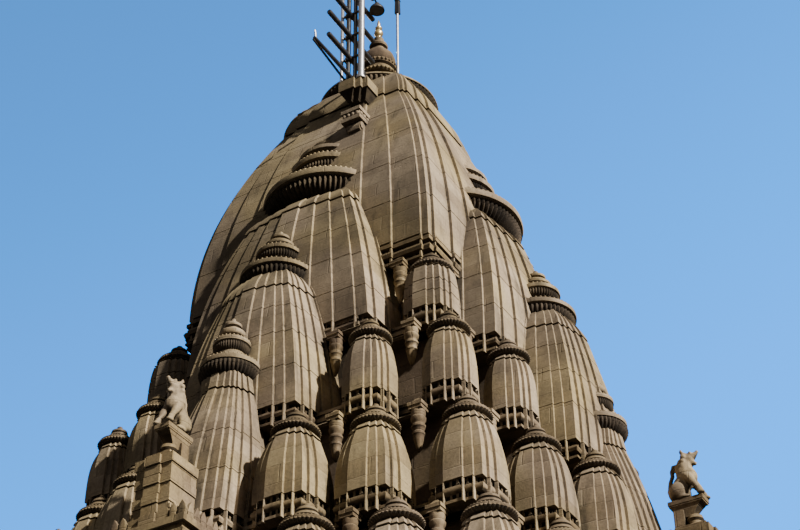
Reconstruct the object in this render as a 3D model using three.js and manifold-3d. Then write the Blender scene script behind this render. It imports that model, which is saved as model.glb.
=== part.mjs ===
// A tall stone temple shrine: a square sanctum on a plinth, crowned by a curved tower
// on which smaller copies of that tower climb in tiers.
// Millimetres, +Z up, origin on the ground below the finial, doorway on the +Y side.
import * as THREE from 'three';
import { mergeVertices } from 'three/addons/utils/BufferGeometryUtils.js';
import loadManifold from 'manifold-3d';

const wasm = await loadManifold();
wasm.setup();

// Driving dimensions
const GAP = 0.3; // clearance between two blocks that touch
const PLINTH_TOP = 600;
const CHAMBER_HALF = 2200;
const CHAMBER_TOP = 6500;
const UPPER_WALL_TOP = 10300;
const EAVES_TOP = 10900;
const DOOR = { width: 1300, height: 2500, frame: 260, proud: 220 };
const TREAD = { half: 1300, depth: 340 }; // two broad treads before the doorway
const LEDGE = 360; // height of the moulded ledge that carries each tier
const LEDGE_INSET = 250; // how far the ledge lies back between the bases of the spires
const CORE_INSET = 330; // how far the wall behind a tier lies inside the plan of the ledge above it

// Stepped plans are lists of half extents [x, y], widest in x first.
const PLAN = {
  wall: [[5520, 1000], [5060, 2100], [4630, 3180], [4240, 4240], [3180, 4630], [2100, 5060], [1000, 5520]],
  plinth: [[6400, 1500], [5900, 2600], [5450, 3700], [5000, 5000], [3700, 5450], [2600, 5900], [1500, 6400]],
};

// Mouldings: [height above the foot, how far the face stands out of the plan].
const MOULDING = {
  plinth: [[0, -80], [400, -80], [470, 0], [600, 0]],
  wall: [
    [0, 200], [300, 200], [480, 110], [700, 110], [760, 0], [5250, 0], [5560, 380], [5660, 400], [5900, 90],
  ],
  upper: [[0, 70], [240, 70], [320, 0], [2750, 0], [3080, 420], [3200, 440], [3800, 80]],
};

// Each tier: the height its spires stand at, the plan of its ledge, the base of the engaged
// spire on each face, the small spires of one corner (centres in the first quadrant) and
// their size above the foot.
const TIERS = [
  {
    foot: 17540,
    plan: [[3440, 1800], [2860, 2860], [1800, 3440]],
    bay: { half: 1900, reach: 3500 },
    places: [[2490, 2490]],
    spirelet: { half: 415, neck: 345, neckAt: 800, disc: 410, discAt: 860, tip: 1330 },
  },
  {
    foot: 15600,
    plan: [[4270, 1100], [3910, 2350], [3460, 3460], [2350, 3910], [1100, 4270]],
    bay: { half: 1290, reach: 4400 },
    places: [[3100, 3100], [1990, 3520]],
    spirelet: { half: 400, neck: 285, neckAt: 960, disc: 345, discAt: 1050, tip: 1500 },
  },
  {
    foot: 13460,
    plan: [[5060, 820], [4930, 1770], [4490, 2930], [4030, 4030], [2930, 4490], [1770, 4930], [820, 5060]],
    bay: { half: 790, reach: 5360 },
    places: [[3650, 3650], [2430, 4100], [1390, 4540]],
    spirelet: { half: 480, neck: 340, neckAt: 1060, disc: 375, discAt: 1180, tip: 1630 },
  },
  {
    foot: 11450,
    plan: [[6050, 900], [5560, 2450], [5080, 3500], [4600, 4600], [3500, 5080], [2450, 5560], [900, 6050]],
    bay: { half: 720, reach: 6050 },
    places: [[4210, 4210], [3110, 4690], [2030, 5160]],
    spirelet: { half: 480, neck: 340, neckAt: 1060, disc: 400, discAt: 1180, tip: 1630 },
  },
];
const SPIRELET_CORNER = 70; // depth of the re-entrant corners of a small spire

// The main spire and the engaged ones: half width of the corners at foot and neck, heights,
// and the bands of each face as fractions of the half width with the step between them.
const SHAFT = {
  half: 2400, neck: 1332, foot: 19400, neckAt: 23970, shoulder: 1080, shoulderAt: 24700,
  bands: [0.95, 0.73, 0.485], step: 55, spread: 0, lean: 0,
};
const SHAFT_BASE = { height: 530, proud: 90 };
const SHAFT_CORE = 2080; // half width of the square body under the main spire

// Engaged spires, one of each size on every face. out: distance of the foot's centre from the
// axis, lean: how much nearer the neck is, spread: how much wider than deep the foot is.
const ENGAGED = [
  {
    name: 'upper', out: 1640, lean: 0, half: 1550, spread: 180, neck: 1075, bands: [0.82, 0.38], step: 90,
    foot: 17540, neckAt: 20520, shoulder: 900, shoulderAt: 20960, disc: 1224, tip: 23010, sides: 16,
  },
  {
    name: 'middle', out: 3160, lean: 0, half: 970, spread: 110, neck: 640, bands: [0.82, 0.4], step: 85,
    foot: 15600, neckAt: 18120, shoulder: 540, shoulderAt: 18560, disc: 624, tip: 19880, sides: 12,
  },
  {
    name: 'lower', out: 4540, lean: 240, half: 600, spread: 0, neck: 300, bands: [0.7], step: 110,
    foot: 13460, neckAt: 15820, shoulder: 330, shoulderAt: 16130, disc: 560, tip: 17370, sides: 10,
  },
];

// Faces of the tower; the lower spire and its pedestal stand nearer the axis on two of them.
const FACES = [
  { name: 'back', turn: 0, shift: 0 },
  { name: 'right', turn: 90, shift: 260 },
  { name: 'front', turn: 180, shift: 0 },
  { name: 'left', turn: 270, shift: 260 },
];

// Lion pedestal: a broad base, a block, a narrow neck and a cantilevered slab.
const PEDESTAL = {
  base: { half: 640, near: 4900, far: 5950, top: 12980 },
  block: { half: 300, near: 5400, far: 5870, top: 14050, tail: 5300, tailFoot: 13480 },
  neck: { half: 120, near: 5300, far: 5460, top: 14450 },
  dome: { radius: 230, height: 300 },
  slab: { half: 125, near: 5230, far: 5790, top: 14650 },
};

const SHOULDER_BLOCK = [-1090, -560, -1330, -1000, 24330, 24560];
const AMALAKA = { foot: 24700, under: 1080, radius: 1250, top: 25120, seat: 1140, drum: 720, drumTop: 25300 };

// The pot and the finial over the disc: [radius, height above the ground] from the foot up.
const POT = [
  [300, 25420], [270, 25730], [340, 25800], [340, 25930], [290, 25980], [360, 26040], [360, 26320],
  [320, 26400], [320, 26600], [200, 26760], [120, 26830], [190, 26860], [190, 26920], [90, 26980],
  [90, 27100], [110, 27130], [110, 27200],
];
const FINIAL = [[60, 27200], [95, 27310], [60, 27400], [85, 27490], [40, 27600], [0, 27750]];

// Lion: masses as [half sizes], [centre], tilt; limbs as [from], [to], radius, mirrored on both sides.
const LION = {
  masses: [
    [[115, 170, 200], [0, 400, 190], 0], [[110, 160, 300], [0, 270, 430], 0.6],
    [[95, 110, 120], [0, 165, 790], 0], [[60, 80, 55], [0, 85, 750], 0],
  ],
  limbs: [[[75, 180, 480], [85, 60, 0], 42], [[50, 185, 840], [70, 200, 930], 22]],
  hindPaw: { x: 78, half: 40, near: 290, far: 400, top: 55 },
  tail: [[0, 520, 200], [0, 430, 620], 35],
};

// Mast bracket: a block, the web below it and a corbel with a scroll, as [x0, x1, y0, y1, z0, z1].
const BRACKET = {
  block: [290, 850, -1920, -1000, 23750, 24210],
  web: [540, 680, -1940, -1000, 23160, 23760],
  corbel: [500, 900, -2150, -1000, 22900, 23180],
  scroll: [560, 880, -2080, -1000, 22560, 22910],
};

// Mast: poles as [x, y, top, radius], rungs at every height, two rails and a lamp.
const MAST = {
  poles: [[705, -1800, 28000, 62], [573, -1800, 27500, 40], [420, -1800, 27700, 50], [310, -1860, 27100, 16]],
  rungs: [24830, 25420, 26010, 26600, 27190],
  rung: { x: 480, near: -1000, firstNear: -1320, far: -2600, radius: 36 },
  spreader: { y: -1830, x0: 300, x1: 700, radius: 26 },
  rail: { xs: [400, 470], from: [-1500, 24300], to: [-3000, 24380], radius: 28 },
  lamp: { x: 696, y: -1212, z: 26600, radius: 150, stem: 45, arm: 18 },
};
const SLIM_POLE = { x: 860, y: -700, radius: 22, top: 27900, box: [810, 910, -740, -640, 26850, 27250] };

const stone = (tone) => new THREE.MeshStandardMaterial({ color: tone, roughness: 0.92, metalness: 0 });
const BASALT = stone(0x8f8371);
const BASALT_DARK = stone(0x75695b);
const GILT = new THREE.MeshStandardMaterial({ color: 0xc9993f, roughness: 0.35, metalness: 1 });
const STEEL = new THREE.MeshStandardMaterial({ color: 0xc4c7ca, roughness: 0.35, metalness: 1 });

const temple = new THREE.Group();

function solidOf(geometry) {
  const bare = geometry.index ? geometry : geometry.clone();
  ['normal', 'uv'].forEach((name) => bare.deleteAttribute(name));
  const merged = mergeVertices(bare, 1e-3);
  return new wasm.Manifold(new wasm.Mesh({
    numProp: 3,
    vertProperties: Float32Array.from(merged.attributes.position.array),
    triVerts: Uint32Array.from(merged.index.array),
  }));
}

function geometryOf(solid) {
  const mesh = solid.getMesh();
  const geometry = new THREE.BufferGeometry();
  geometry.setAttribute('position', new THREE.BufferAttribute(Float32Array.from(mesh.vertProperties), 3));
  geometry.setIndex(Array.from(mesh.triVerts));
  geometry.computeVertexNormals();
  return geometry;
}

const join = (solids) => solids.reduce((whole, next) => whole.add(next));

function place(name, solid, material) {
  const mesh = new THREE.Mesh(geometryOf(solid), material);
  mesh.name = name;
  temple.add(mesh);
}

function box(x0, x1, y0, y1, z0, z1) {
  const geometry = new THREE.BoxGeometry(x1 - x0, y1 - y0, z1 - z0);
  return solidOf(geometry.translate((x0 + x1) / 2, (y0 + y1) / 2, (z0 + z1) / 2));
}

// Outline of a square plan whose corners step back, anticlockwise.
function steppedOutline(plan, grow = 0) {
  const quarter = [];
  plan.forEach(([x, y], i) => {
    if (i > 0) quarter.push([x + grow, plan[i - 1][1] + grow]);
    quarter.push([x + grow, y + grow]);
  });
  const mirrored = (sx, sy) => quarter.map(([x, y]) => [sx * x, sy * y]);
  return [
    ...mirrored(1, 1), ...mirrored(-1, 1).reverse(), ...mirrored(-1, -1), ...mirrored(1, -1).reverse(),
  ];
}

function slab(outline, z0, z1) {
  const shape = new THREE.Shape(outline.map(([x, y]) => new THREE.Vector2(x, y)));
  const geometry = new THREE.ExtrudeGeometry(shape, { depth: z1 - z0, bevelEnabled: false });
  return solidOf(geometry.translate(0, 0, z0));
}

// Plan of a spire: every face carries bands that stand out a little more towards its middle.
function bandedPlan(halfX, halfY, bands, rise) {
  const face = [[0, -1]];
  bands.forEach((band, i) => face.push([i, -band], [i + 1, -band]));
  [...bands].reverse().forEach((band, i) => face.push([bands.length - i, band], [bands.length - i - 1, band]));
  const east = face.map(([n, s]) => [halfX + n * rise, s * halfY]);
  const north = face.map(([n, s]) => [-s * halfX, halfY + n * rise]);
  const opposite = (side) => side.map(([x, y]) => [-x, -y]);
  return [...east, ...north, ...opposite(east), ...opposite(north)];
}

// Closed solid through plans of equal point count, each at its own height.
function loft(rings) {
  const count = rings[0].plan.length;
  const positions = rings.flatMap(({ plan, z }) => plan.flatMap(([x, y]) => [x, y, z]));
  const index = [];
  for (let level = 0; level + 1 < rings.length; level += 1) {
    for (let i = 0; i < count; i += 1) {
      const a = level * count + i;
      const b = level * count + ((i + 1) % count);
      index.push(a, b, b + count, a, b + count, a + count);
    }
  }
  const corners = (ring) => ring.plan.map(([x, y]) => new THREE.Vector2(x, y));
  const cap = (ring) => THREE.ShapeUtils.triangulateShape(corners(ring), []);
  cap(rings[0]).forEach(([a, b, c]) => index.push(a, c, b));
  const last = (rings.length - 1) * count;
  cap(rings[rings.length - 1]).forEach(([a, b, c]) => index.push(last + a, last + b, last + c));
  const geometry = new THREE.BufferGeometry();
  geometry.setAttribute('position', new THREE.Float32BufferAttribute(positions, 3));
  geometry.setIndex(index);
  return solidOf(geometry);
}

// The tower curve: upright at the foot and leaning in ever faster towards the neck.
function spireBody(size, levels, grow = 0) {
  const { half, spread, neck, foot, neckAt, shoulder, shoulderAt, bands, step, lean } = size;
  const ring = (wide, deep, back, z) => ({
    plan: bandedPlan(wide + grow, deep + grow, bands, step).map(([x, y]) => [x, y + back]), z,
  });
  const rings = [];
  for (let i = 0; i <= levels; i += 1) {
    const t = i / levels;
    const deep = half - (half - neck) * t * t;
    rings.push(ring(deep + spread * (1 - t), deep, lean * t, foot + t * (neckAt - foot)));
  }
  rings.push(ring(shoulder, shoulder, lean, shoulderAt));
  return loft(rings);
}

// A turned piece from [radius, height] points that start and end on the axis.
function turned(profile, sides) {
  const points = profile.map(([r, z]) => new THREE.Vector2(r, z));
  return solidOf(new THREE.LatheGeometry(points, sides).rotateX(Math.PI / 2));
}

// Ribbed disc, plate, second disc and knob, as fractions of the radius and of the height.
function crown(radius, z, top, sides) {
  const profile = [
    [0, 0], [0.86, 0], [1, 0.1], [1, 0.22], [0.55, 0.33], [0.6, 0.58], [0.25, 0.78], [0, 1],
  ];
  return turned(profile.map(([r, h]) => [r * radius, z + h * (top - z)]), sides);
}

const turnedAbout = (solid, degrees) => solid.rotate([0, 0, degrees]);
const largestOf = (solid) => solid.decompose().sort((p, q) => q.volume() - p.volume())[0];

const shaftBody = (grow = 0) => spireBody(SHAFT, 6, grow);
const engagedBody = (size, grow = 0) => spireBody(size, 3, grow).translate([0, -size.out, 0]);

function engagedSpire(size) {
  const top = crown(size.disc, size.shoulderAt - 20, size.tip, size.sides);
  return engagedBody(size).add(top.translate([0, size.lean - size.out, 0]));
}

// A small spire standing free in its tier, on its own part of the ledge.
function spirelet([x, y], foot, { half, neck, neckAt, disc, discAt, tip }) {
  const ring = (width, z) => ({
    plan: steppedOutline([[width, width - SPIRELET_CORNER], [width - SPIRELET_CORNER, width]]), z: foot + z,
  });
  const bulge = half - (half - neck) * 0.31;
  const body = loft([
    ring(half, -LEDGE), ring(bulge, 0.6 * neckAt), ring(neck, neckAt), ring(0.85 * neck, discAt + 5),
  ]);
  const cap = turned([
    [0, foot + discAt], [disc, foot + discAt], [disc, foot + discAt + 0.3 * disc],
    [0.4 * disc, foot + discAt + 0.5 * disc], [0, foot + tip],
  ], 6);
  return body.add(cap).translate([x, y, 0]);
}

function cornerPlaces(places) {
  const all = [];
  places.forEach(([x, y]) => {
    const pair = x === y ? [[x, y]] : [[x, y], [y, x]];
    pair.forEach(([px, py]) => all.push([px, py], [-px, py], [-px, -py], [px, -py]));
  });
  return all;
}

// A stepped plan drawn up along a moulding.
function moulded(plan, moulding, z0, z1) {
  const cut = moulding.map(([z, out]) => [Math.min(z0 + z, z1), out]);
  return loft(cut.map(([z, out]) => ({ plan: steppedOutline(plan, out), z })));
}

// Sanctum
const doorHalf = DOOR.width / 2;
const frameHalf = doorHalf + DOOR.frame;
const doorTop = PLINTH_TOP + DOOR.height;
const frameTop = doorTop + DOOR.frame;
const wallFoot = PLINTH_TOP + GAP;
const wallTop = CHAMBER_TOP - GAP;
const faceOut = PLAN.wall[0][0];

const plinthFront = PLAN.plinth[0][0];
const treads = [1, 2].map((n) => box(
  -TREAD.half, TREAD.half, plinthFront - 150, plinthFront + (3 - n) * TREAD.depth, 0, (n * PLINTH_TOP) / 3,
));
place('plinth', join([moulded(PLAN.plinth, MOULDING.plinth, 0, PLINTH_TOP), ...treads]), BASALT_DARK);

const wallRing = moulded(PLAN.wall, MOULDING.wall, wallFoot, wallTop)
  .subtract(box(-CHAMBER_HALF, CHAMBER_HALF, -CHAMBER_HALF, CHAMBER_HALF, 0, CHAMBER_TOP + 1));
const beyond = 2 * faceOut;
const cutOut = (x0, x1, y0, y1, z0) => wallRing.intersect(box(x0, x1, y0, y1, z0, CHAMBER_TOP));
place('wall_back', cutOut(-beyond, beyond, -beyond, -CHAMBER_HALF, 0), BASALT);
place('wall_left', cutOut(-beyond, 0, -CHAMBER_HALF + GAP, CHAMBER_HALF - GAP, 0), BASALT);
place('wall_right', cutOut(0, beyond, -CHAMBER_HALF + GAP, CHAMBER_HALF - GAP, 0), BASALT);
place('wall_front_left', cutOut(-beyond, -frameHalf, CHAMBER_HALF, beyond, 0), BASALT);
place('wall_front_right', cutOut(frameHalf, beyond, CHAMBER_HALF, beyond, 0), BASALT);
const fitted = frameHalf - GAP;
place('wall_over_door', cutOut(-fitted, fitted, CHAMBER_HALF, beyond, frameTop + GAP), BASALT);

const frameFace = faceOut + DOOR.proud;
const frameStone = (x0, x1, z0, z1) => box(x0, x1, CHAMBER_HALF, frameFace, z0, z1);
place('door_jamb_left', frameStone(-fitted, -doorHalf, wallFoot, doorTop), BASALT_DARK);
place('door_jamb_right', frameStone(doorHalf, fitted, wallFoot, doorTop), BASALT_DARK);
place('door_lintel', frameStone(-fitted, fitted, doorTop + GAP, frameTop), BASALT_DARK);

place('upper_storey', moulded(PLAN.wall, MOULDING.upper, CHAMBER_TOP, UPPER_WALL_TOP - GAP), BASALT);

// Tiers, from the eaves up
const bayBox = ({ bay, foot }, shift, grow = 0) => box(
  -bay.half - grow, bay.half + grow, -bay.reach + shift - grow, 0, foot - LEDGE - grow, foot + grow,
);
const ledge = (tier, shifted, grow = 0) => join([
  slab(steppedOutline(tier.plan, grow - LEDGE_INSET), tier.foot - LEDGE - grow, tier.foot + grow),
  ...FACES.map(({ turn, shift }) => turnedAbout(bayBox(tier, shifted ? shift : 0, grow), turn)),
]);
const tierBlock = (tier, shifted = false) => join([
  ledge(tier, shifted), ...cornerPlaces(tier.places).map((at) => spirelet(at, tier.foot, tier.spirelet)),
]);

function pedestal(shift) {
  const { base, block, neck, dome, slab: shelf } = PEDESTAL;
  const whole = join([
    box(-base.half, base.half, -base.far, -base.near, TIERS[3].foot - 20, base.top),
    box(-block.half, block.half, -block.far, -block.near, base.top - 20, block.top),
    box(-block.half, block.half, -block.near - 5, -block.tail, block.tailFoot, block.top),
    box(-neck.half, neck.half, -neck.far, -neck.near, block.top - 20, neck.top + 20),
    box(-shelf.half, shelf.half, -shelf.far, -shelf.near, neck.top, shelf.top),
    turned([
      [0, block.top - 20], [dome.radius, block.top - 20], [dome.radius, block.top + 0.35 * dome.height],
      [0.6 * dome.radius, block.top + 0.8 * dome.height], [0, block.top + dome.height],
    ], 12).translate([0, -shelf.far + 140, 0]),
  ]);
  return whole.translate([0, shift / 2, 0]);
}

const bodyBetween = (lower, upper) => slab(
  steppedOutline(upper.plan, -CORE_INSET), lower.foot + GAP, upper.foot - LEDGE - GAP,
);
place('tier_4_spires', join([
  slab(steppedOutline(TIERS[3].plan), UPPER_WALL_TOP, EAVES_TOP),
  slab(steppedOutline(TIERS[3].plan, -LEDGE_INSET), EAVES_TOP - 10, TIERS[3].foot - LEDGE + 10),
  tierBlock(TIERS[3]), ...FACES.map(({ turn, shift }) => turnedAbout(pedestal(shift), turn)),
]), BASALT);
place('tier_4_core', bodyBetween(TIERS[3], TIERS[2]), BASALT_DARK);
place('tier_3_spires', tierBlock(TIERS[2], true), BASALT);
place('tier_3_core', bodyBetween(TIERS[2], TIERS[1]), BASALT_DARK);
place('tier_2_spires', tierBlock(TIERS[1]), BASALT);
place('tier_2_core', bodyBetween(TIERS[1], TIERS[0]), BASALT_DARK);
place('tier_1_spires', tierBlock(TIERS[0]), BASALT);

const shaftCore = (z0, z1, half) => box(-half, half, -half, half, z0, z1);
const shaftBase = (z0, z1, grow = 0) => {
  const half = SHAFT.half + SHAFT_BASE.proud + grow;
  return slab(bandedPlan(half, half, SHAFT.bands, SHAFT.step), z0, z1);
};
const baseFoot = SHAFT.foot - SHAFT_BASE.height;
place('tier_1_core', shaftCore(TIERS[0].foot + GAP, baseFoot - GAP, SHAFT_CORE), BASALT_DARK);
place('shaft_base', shaftBase(baseFoot, SHAFT.foot - GAP), BASALT_DARK);
place('main_spire', shaftBody().add(box(...SHOULDER_BLOCK)), BASALT);

// Engaged spires, cut back to whatever they lean on
const cores = [TIERS[0], TIERS[1], TIERS[2]].map(({ plan, foot }) => slab(
  steppedOutline(plan, GAP - CORE_INSET), foot - 3000, foot - LEDGE + GAP,
));
const leansOn = [
  [
    shaftBody(GAP), shaftCore(TIERS[0].foot - 1, SHAFT.foot, SHAFT_CORE + GAP),
    shaftBase(baseFoot - GAP, SHAFT.foot, GAP),
  ],
  [engagedBody(ENGAGED[0], GAP), ledge(TIERS[0], false, GAP), cores[0]],
  [engagedBody(ENGAGED[1], GAP), ledge(TIERS[1], false, GAP), cores[1]],
];
ENGAGED.forEach((size, i) => {
  const cutters = join(leansOn.slice(0, i + 1).flat());
  FACES.forEach(({ name, turn, shift }) => {
    const whole = engagedSpire({ ...size, foot: size.foot + GAP });
    const stood = i === 2 ? whole.translate([0, shift, 0]) : whole;
    place(`${size.name}_spire_${name}`, turnedAbout(largestOf(stood.subtract(cutters)), turn), BASALT);
  });
});

// Crown of the main spire
const seated = (profile) => [
  [0, profile[0][1] + GAP], [profile[0][0], profile[0][1] + GAP], ...profile.slice(1),
];
const potFoot = POT[0][1];
place('main_amalaka', turned([
  ...seated([[AMALAKA.under, AMALAKA.foot]]), [AMALAKA.radius, AMALAKA.foot + 150],
  [AMALAKA.radius, AMALAKA.top - 120], [AMALAKA.seat, AMALAKA.top], [AMALAKA.drum, AMALAKA.top],
  [AMALAKA.drum, AMALAKA.drumTop], [0.89 * AMALAKA.drum, potFoot], [0, potFoot],
], 28), BASALT);
place('kalasha', turned([...seated(POT), [0, POT[POT.length - 1][1]]], 14), BASALT);
place('gilt_finial', turned(seated(FINIAL), 12), GILT);

// Guardian lions, one on the pedestal of each face
function ellipsoid([rx, ry, rz], [x, y, z], tilt = 0) {
  const geometry = new THREE.SphereGeometry(1, 7, 5).scale(rx, ry, rz).rotateX(tilt);
  return solidOf(geometry.translate(x, y, z));
}

// A round bar from one point to another.
function bar(from, to, radius, sides = 8) {
  const [start, end] = [new THREE.Vector3(...from), new THREE.Vector3(...to)];
  const along = end.clone().sub(start);
  const upright = new THREE.Vector3(0, 1, 0);
  const turn = new THREE.Quaternion().setFromUnitVectors(upright, along.clone().normalize());
  const geometry = new THREE.CylinderGeometry(radius, radius, along.length(), sides).applyQuaternion(turn);
  return solidOf(geometry.translate(...start.add(end).multiplyScalar(0.5).toArray()));
}

// The lion faces -Y; its y runs back from the front edge of the slab, its z up from the slab.
function lion() {
  const { masses, limbs, hindPaw, tail } = LION;
  const mirroredTo = (side, [x, y, z]) => [side * x, y, z];
  const body = join([
    ...masses.map((mass) => ellipsoid(...mass)),
    ...[-1, 1].flatMap((side) => [
      ...limbs.map(([from, to, radius]) => bar(mirroredTo(side, from), mirroredTo(side, to), radius, 5)),
      box(-hindPaw.half, hindPaw.half, hindPaw.near, hindPaw.far, 0, hindPaw.top)
        .translate([side * hindPaw.x, 0, 0]),
    ]),
    bar(...tail, 5),
  ]);
  const above = box(-300, 300, -300, 900, 0, 1200);
  return body.intersect(above).translate([0, -PEDESTAL.slab.far, PEDESTAL.slab.top + GAP]);
}

FACES.forEach(({ name, turn, shift }) => {
  place(`lion_${name}`, turnedAbout(lion().translate([0, shift / 2, 0]), turn), BASALT);
});

// Mast bracket high on the back face, with its poles, rungs, rails and lamp
const bracket = join(Object.values(BRACKET).map((corners) => box(...corners)));
place('mast_bracket', largestOf(bracket.subtract(shaftBody(GAP))), BASALT);

const { poles, rungs, rung, spreader, rail, lamp } = MAST;
const mastFoot = BRACKET.block[5] + GAP;
const [mainPole] = poles;
place('mast', join([
  ...poles.map(([x, y, top, radius]) => bar([x, y, mastFoot], [x, y, top], radius, radius > 60 ? 12 : 8)),
  ...rungs.map((z, i) => {
    const near = i === 0 ? rung.firstNear : rung.near;
    return bar([rung.x, rung.far, z], [rung.x, near, z], rung.radius, 5);
  }),
  ...rungs.map((z) => bar([spreader.x0, spreader.y, z], [spreader.x1, spreader.y, z], spreader.radius, 4)),
  ...rail.xs.map((x) => bar([x, ...rail.from], [x, ...rail.to], rail.radius, 5)),
  bar([mainPole[0], mainPole[1], lamp.z + 160], [lamp.x, lamp.y, lamp.z + 160], lamp.arm, 6),
  turned([
    [0, lamp.z - 40], [lamp.radius, lamp.z - 40], [lamp.radius, lamp.z], [lamp.stem, lamp.z + 110],
    [lamp.stem, lamp.z + 180], [0, lamp.z + 180],
  ], 14).translate([lamp.x, lamp.y, 0]),
]), STEEL);
const slim = (z) => [SLIM_POLE.x, SLIM_POLE.y, z];
place('slim_pole', join([
  bar(slim(AMALAKA.top + GAP), slim(SLIM_POLE.top), SLIM_POLE.radius), box(...SLIM_POLE.box),
]), STEEL);

export default temple;
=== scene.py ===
"""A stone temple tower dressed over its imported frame: spires, crowns, walls and mast."""
import logging
import math
from collections.abc import Callable, Iterable, Sequence
from dataclasses import dataclass, field
from enum import Enum
from functools import reduce

import bpy
from bpy.types import Material, Mesh, Node, NodeSocket, NodeTree, Object
from mathutils import Matrix, Vector


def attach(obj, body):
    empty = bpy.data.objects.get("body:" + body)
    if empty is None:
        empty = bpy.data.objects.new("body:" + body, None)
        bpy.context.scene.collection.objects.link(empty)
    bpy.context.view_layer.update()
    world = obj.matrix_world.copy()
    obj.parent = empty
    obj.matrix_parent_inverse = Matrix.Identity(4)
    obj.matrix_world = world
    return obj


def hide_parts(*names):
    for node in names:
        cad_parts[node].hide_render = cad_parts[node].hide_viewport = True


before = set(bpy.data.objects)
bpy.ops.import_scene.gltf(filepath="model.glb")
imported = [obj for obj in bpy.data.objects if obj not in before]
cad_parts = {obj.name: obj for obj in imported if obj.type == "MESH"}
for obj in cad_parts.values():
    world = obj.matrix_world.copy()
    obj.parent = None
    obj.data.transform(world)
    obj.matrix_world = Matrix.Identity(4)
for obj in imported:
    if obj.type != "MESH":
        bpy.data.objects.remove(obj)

LOG = logging.getLogger("temple")
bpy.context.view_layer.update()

Plan = Sequence[tuple[float, float]]
Outline = list[tuple[float, float]]
Spot = tuple[float, float, float]
Station = tuple[float, float, float, float]
Colour = tuple[float, float, float, float]

SOCKETS = {float: "NodeSocketFloat", int: "NodeSocketInt", tuple: "NodeSocketColor"}

# Thickness of a tier's ledge and how far its top is drawn in; half width of the door frame.
LEDGE = 0.36
LEDGE_INSET = 0.25
DOOR_HALF = 0.91
# Edges sharper than this stay hard.
SHARP = math.radians(34)
# Neighbours in the frame stand this far apart; a height that ends in 03 has it added.
GAP = 0.0003


class Face(Enum):
    """The four faces of the tower: turn from the -Y side and shift towards the axis."""

    BACK = ("back", 0, 0.0)
    RIGHT = ("right", 90, 0.26)
    FRONT = ("front", 180, 0.0)
    LEFT = ("left", 270, 0.26)

    @property
    def label(self) -> str:
        """Name used in the frame's node names."""
        return self.value[0]

    @property
    def turn(self) -> int:
        """Degrees about the tower's axis."""
        return self.value[1]

    @property
    def shift(self) -> float:
        """How much nearer the axis the lower spire of this face stands."""
        return self.value[2]


class Finish(Enum):
    """The finishes of the temple and the record slot each belongs to."""

    BASALT = ("basalt", "basalt")
    SOOTY = ("sooty_basalt", "basalt")
    CROWN = ("crown_basalt", "basalt")
    # Painted shade: near-black stone for the hollows, the bracket's underside and the ribbed discs.
    HOLLOW = ("hollow_basalt", "basalt")
    DARK_BASALT = ("dark_basalt", "dark_basalt")
    GILT = ("gilt", "gilt")
    STEEL = ("mast_steel", "mast_steel")
    IRON = ("rung_iron", "mast_steel")

    @property
    def label(self) -> str:
        """Name of its material."""
        return self.value[0]

    @property
    def slot(self) -> str:
        """The record's material slot."""
        return self.value[1]


def square_plan(*steps: tuple[float, float]) -> Plan:
    """A plan that is the same along x and y, given its steps from a face's middle to the corner."""
    return steps + tuple((y, x) for x, y in reversed(steps) if x != y)


EAVES = square_plan((6.05, 0.9), (5.56, 2.45), (5.08, 3.5), (4.6, 4.6))


def stepped_outline(plan: Plan, grow: float = 0.0) -> Outline:
    """Outline of a square plan whose corners step back.

    Args:
        plan: half extents (x, y) of each step, widest in x first.
        grow: distance by which the outline is pushed out.

    Returns:
        The corners, anticlockwise.
    """
    quarter: Outline = []
    for i, (x, y) in enumerate(plan):
        if i:
            quarter.append((x + grow, plan[i - 1][1] + grow))
        quarter.append((x + grow, y + grow))
    back = quarter[::-1]
    return (quarter + [(-x, y) for x, y in back]
            + [(-x, -y) for x, y in quarter] + [(x, -y) for x, y in back])


def banded_outline(half_x: float, half_y: float, bands: Sequence[float], step: float) -> Outline:
    """Outline of a spire whose faces stand out in bands towards their middle.

    Args:
        half_x: half width at the corners along x.
        half_y: half width at the corners along y.
        bands: where each band starts, as a fraction of the half width, outermost first.
        step: how far each band stands out of the one before it.

    Returns:
        The corners, anticlockwise.
    """
    face = [(0, -1.0)]
    for i, band in enumerate(bands):
        face += [(i, -band), (i + 1, -band)]
    for i, band in enumerate(reversed(bands)):
        face += [(len(bands) - i, band), (len(bands) - i - 1, band)]
    east = [(half_x + n * step, s * half_y) for n, s in face]
    north = [(-s * half_x, half_y + n * step) for n, s in face]
    return east + north + [(-x, -y) for x, y in east] + [(-x, -y) for x, y in north]


def band_edges(half_x: float, half_y: float, bands: Sequence[float], step: float,
               lean: float = 0.0) -> list[Spot]:
    """Where the bands of a spire's four faces start.

    Args:
        half_x: half width at the corners along x.
        half_y: half width at the corners along y.
        bands: where each band starts, as a fraction of the half width, outermost first.
        step: how far each band stands out of the one before it.
        lean: how far the outline is set off along y.

    Returns:
        x, y and the turn of the outward side of each band edge, on the outer band's face.
    """
    edges = []
    for i, band in enumerate(bands):
        out = (i + 1) * step
        for side in (-1, 1):
            edges.append((half_x + out, side * band * half_y + lean, math.pi / 2))
            edges.append((-half_x - out, side * band * half_y + lean, -math.pi / 2))
            edges.append((side * band * half_x, half_y + out + lean, math.pi))
            edges.append((side * band * half_x, -half_y - out + lean, 0.0))
    return edges


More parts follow.
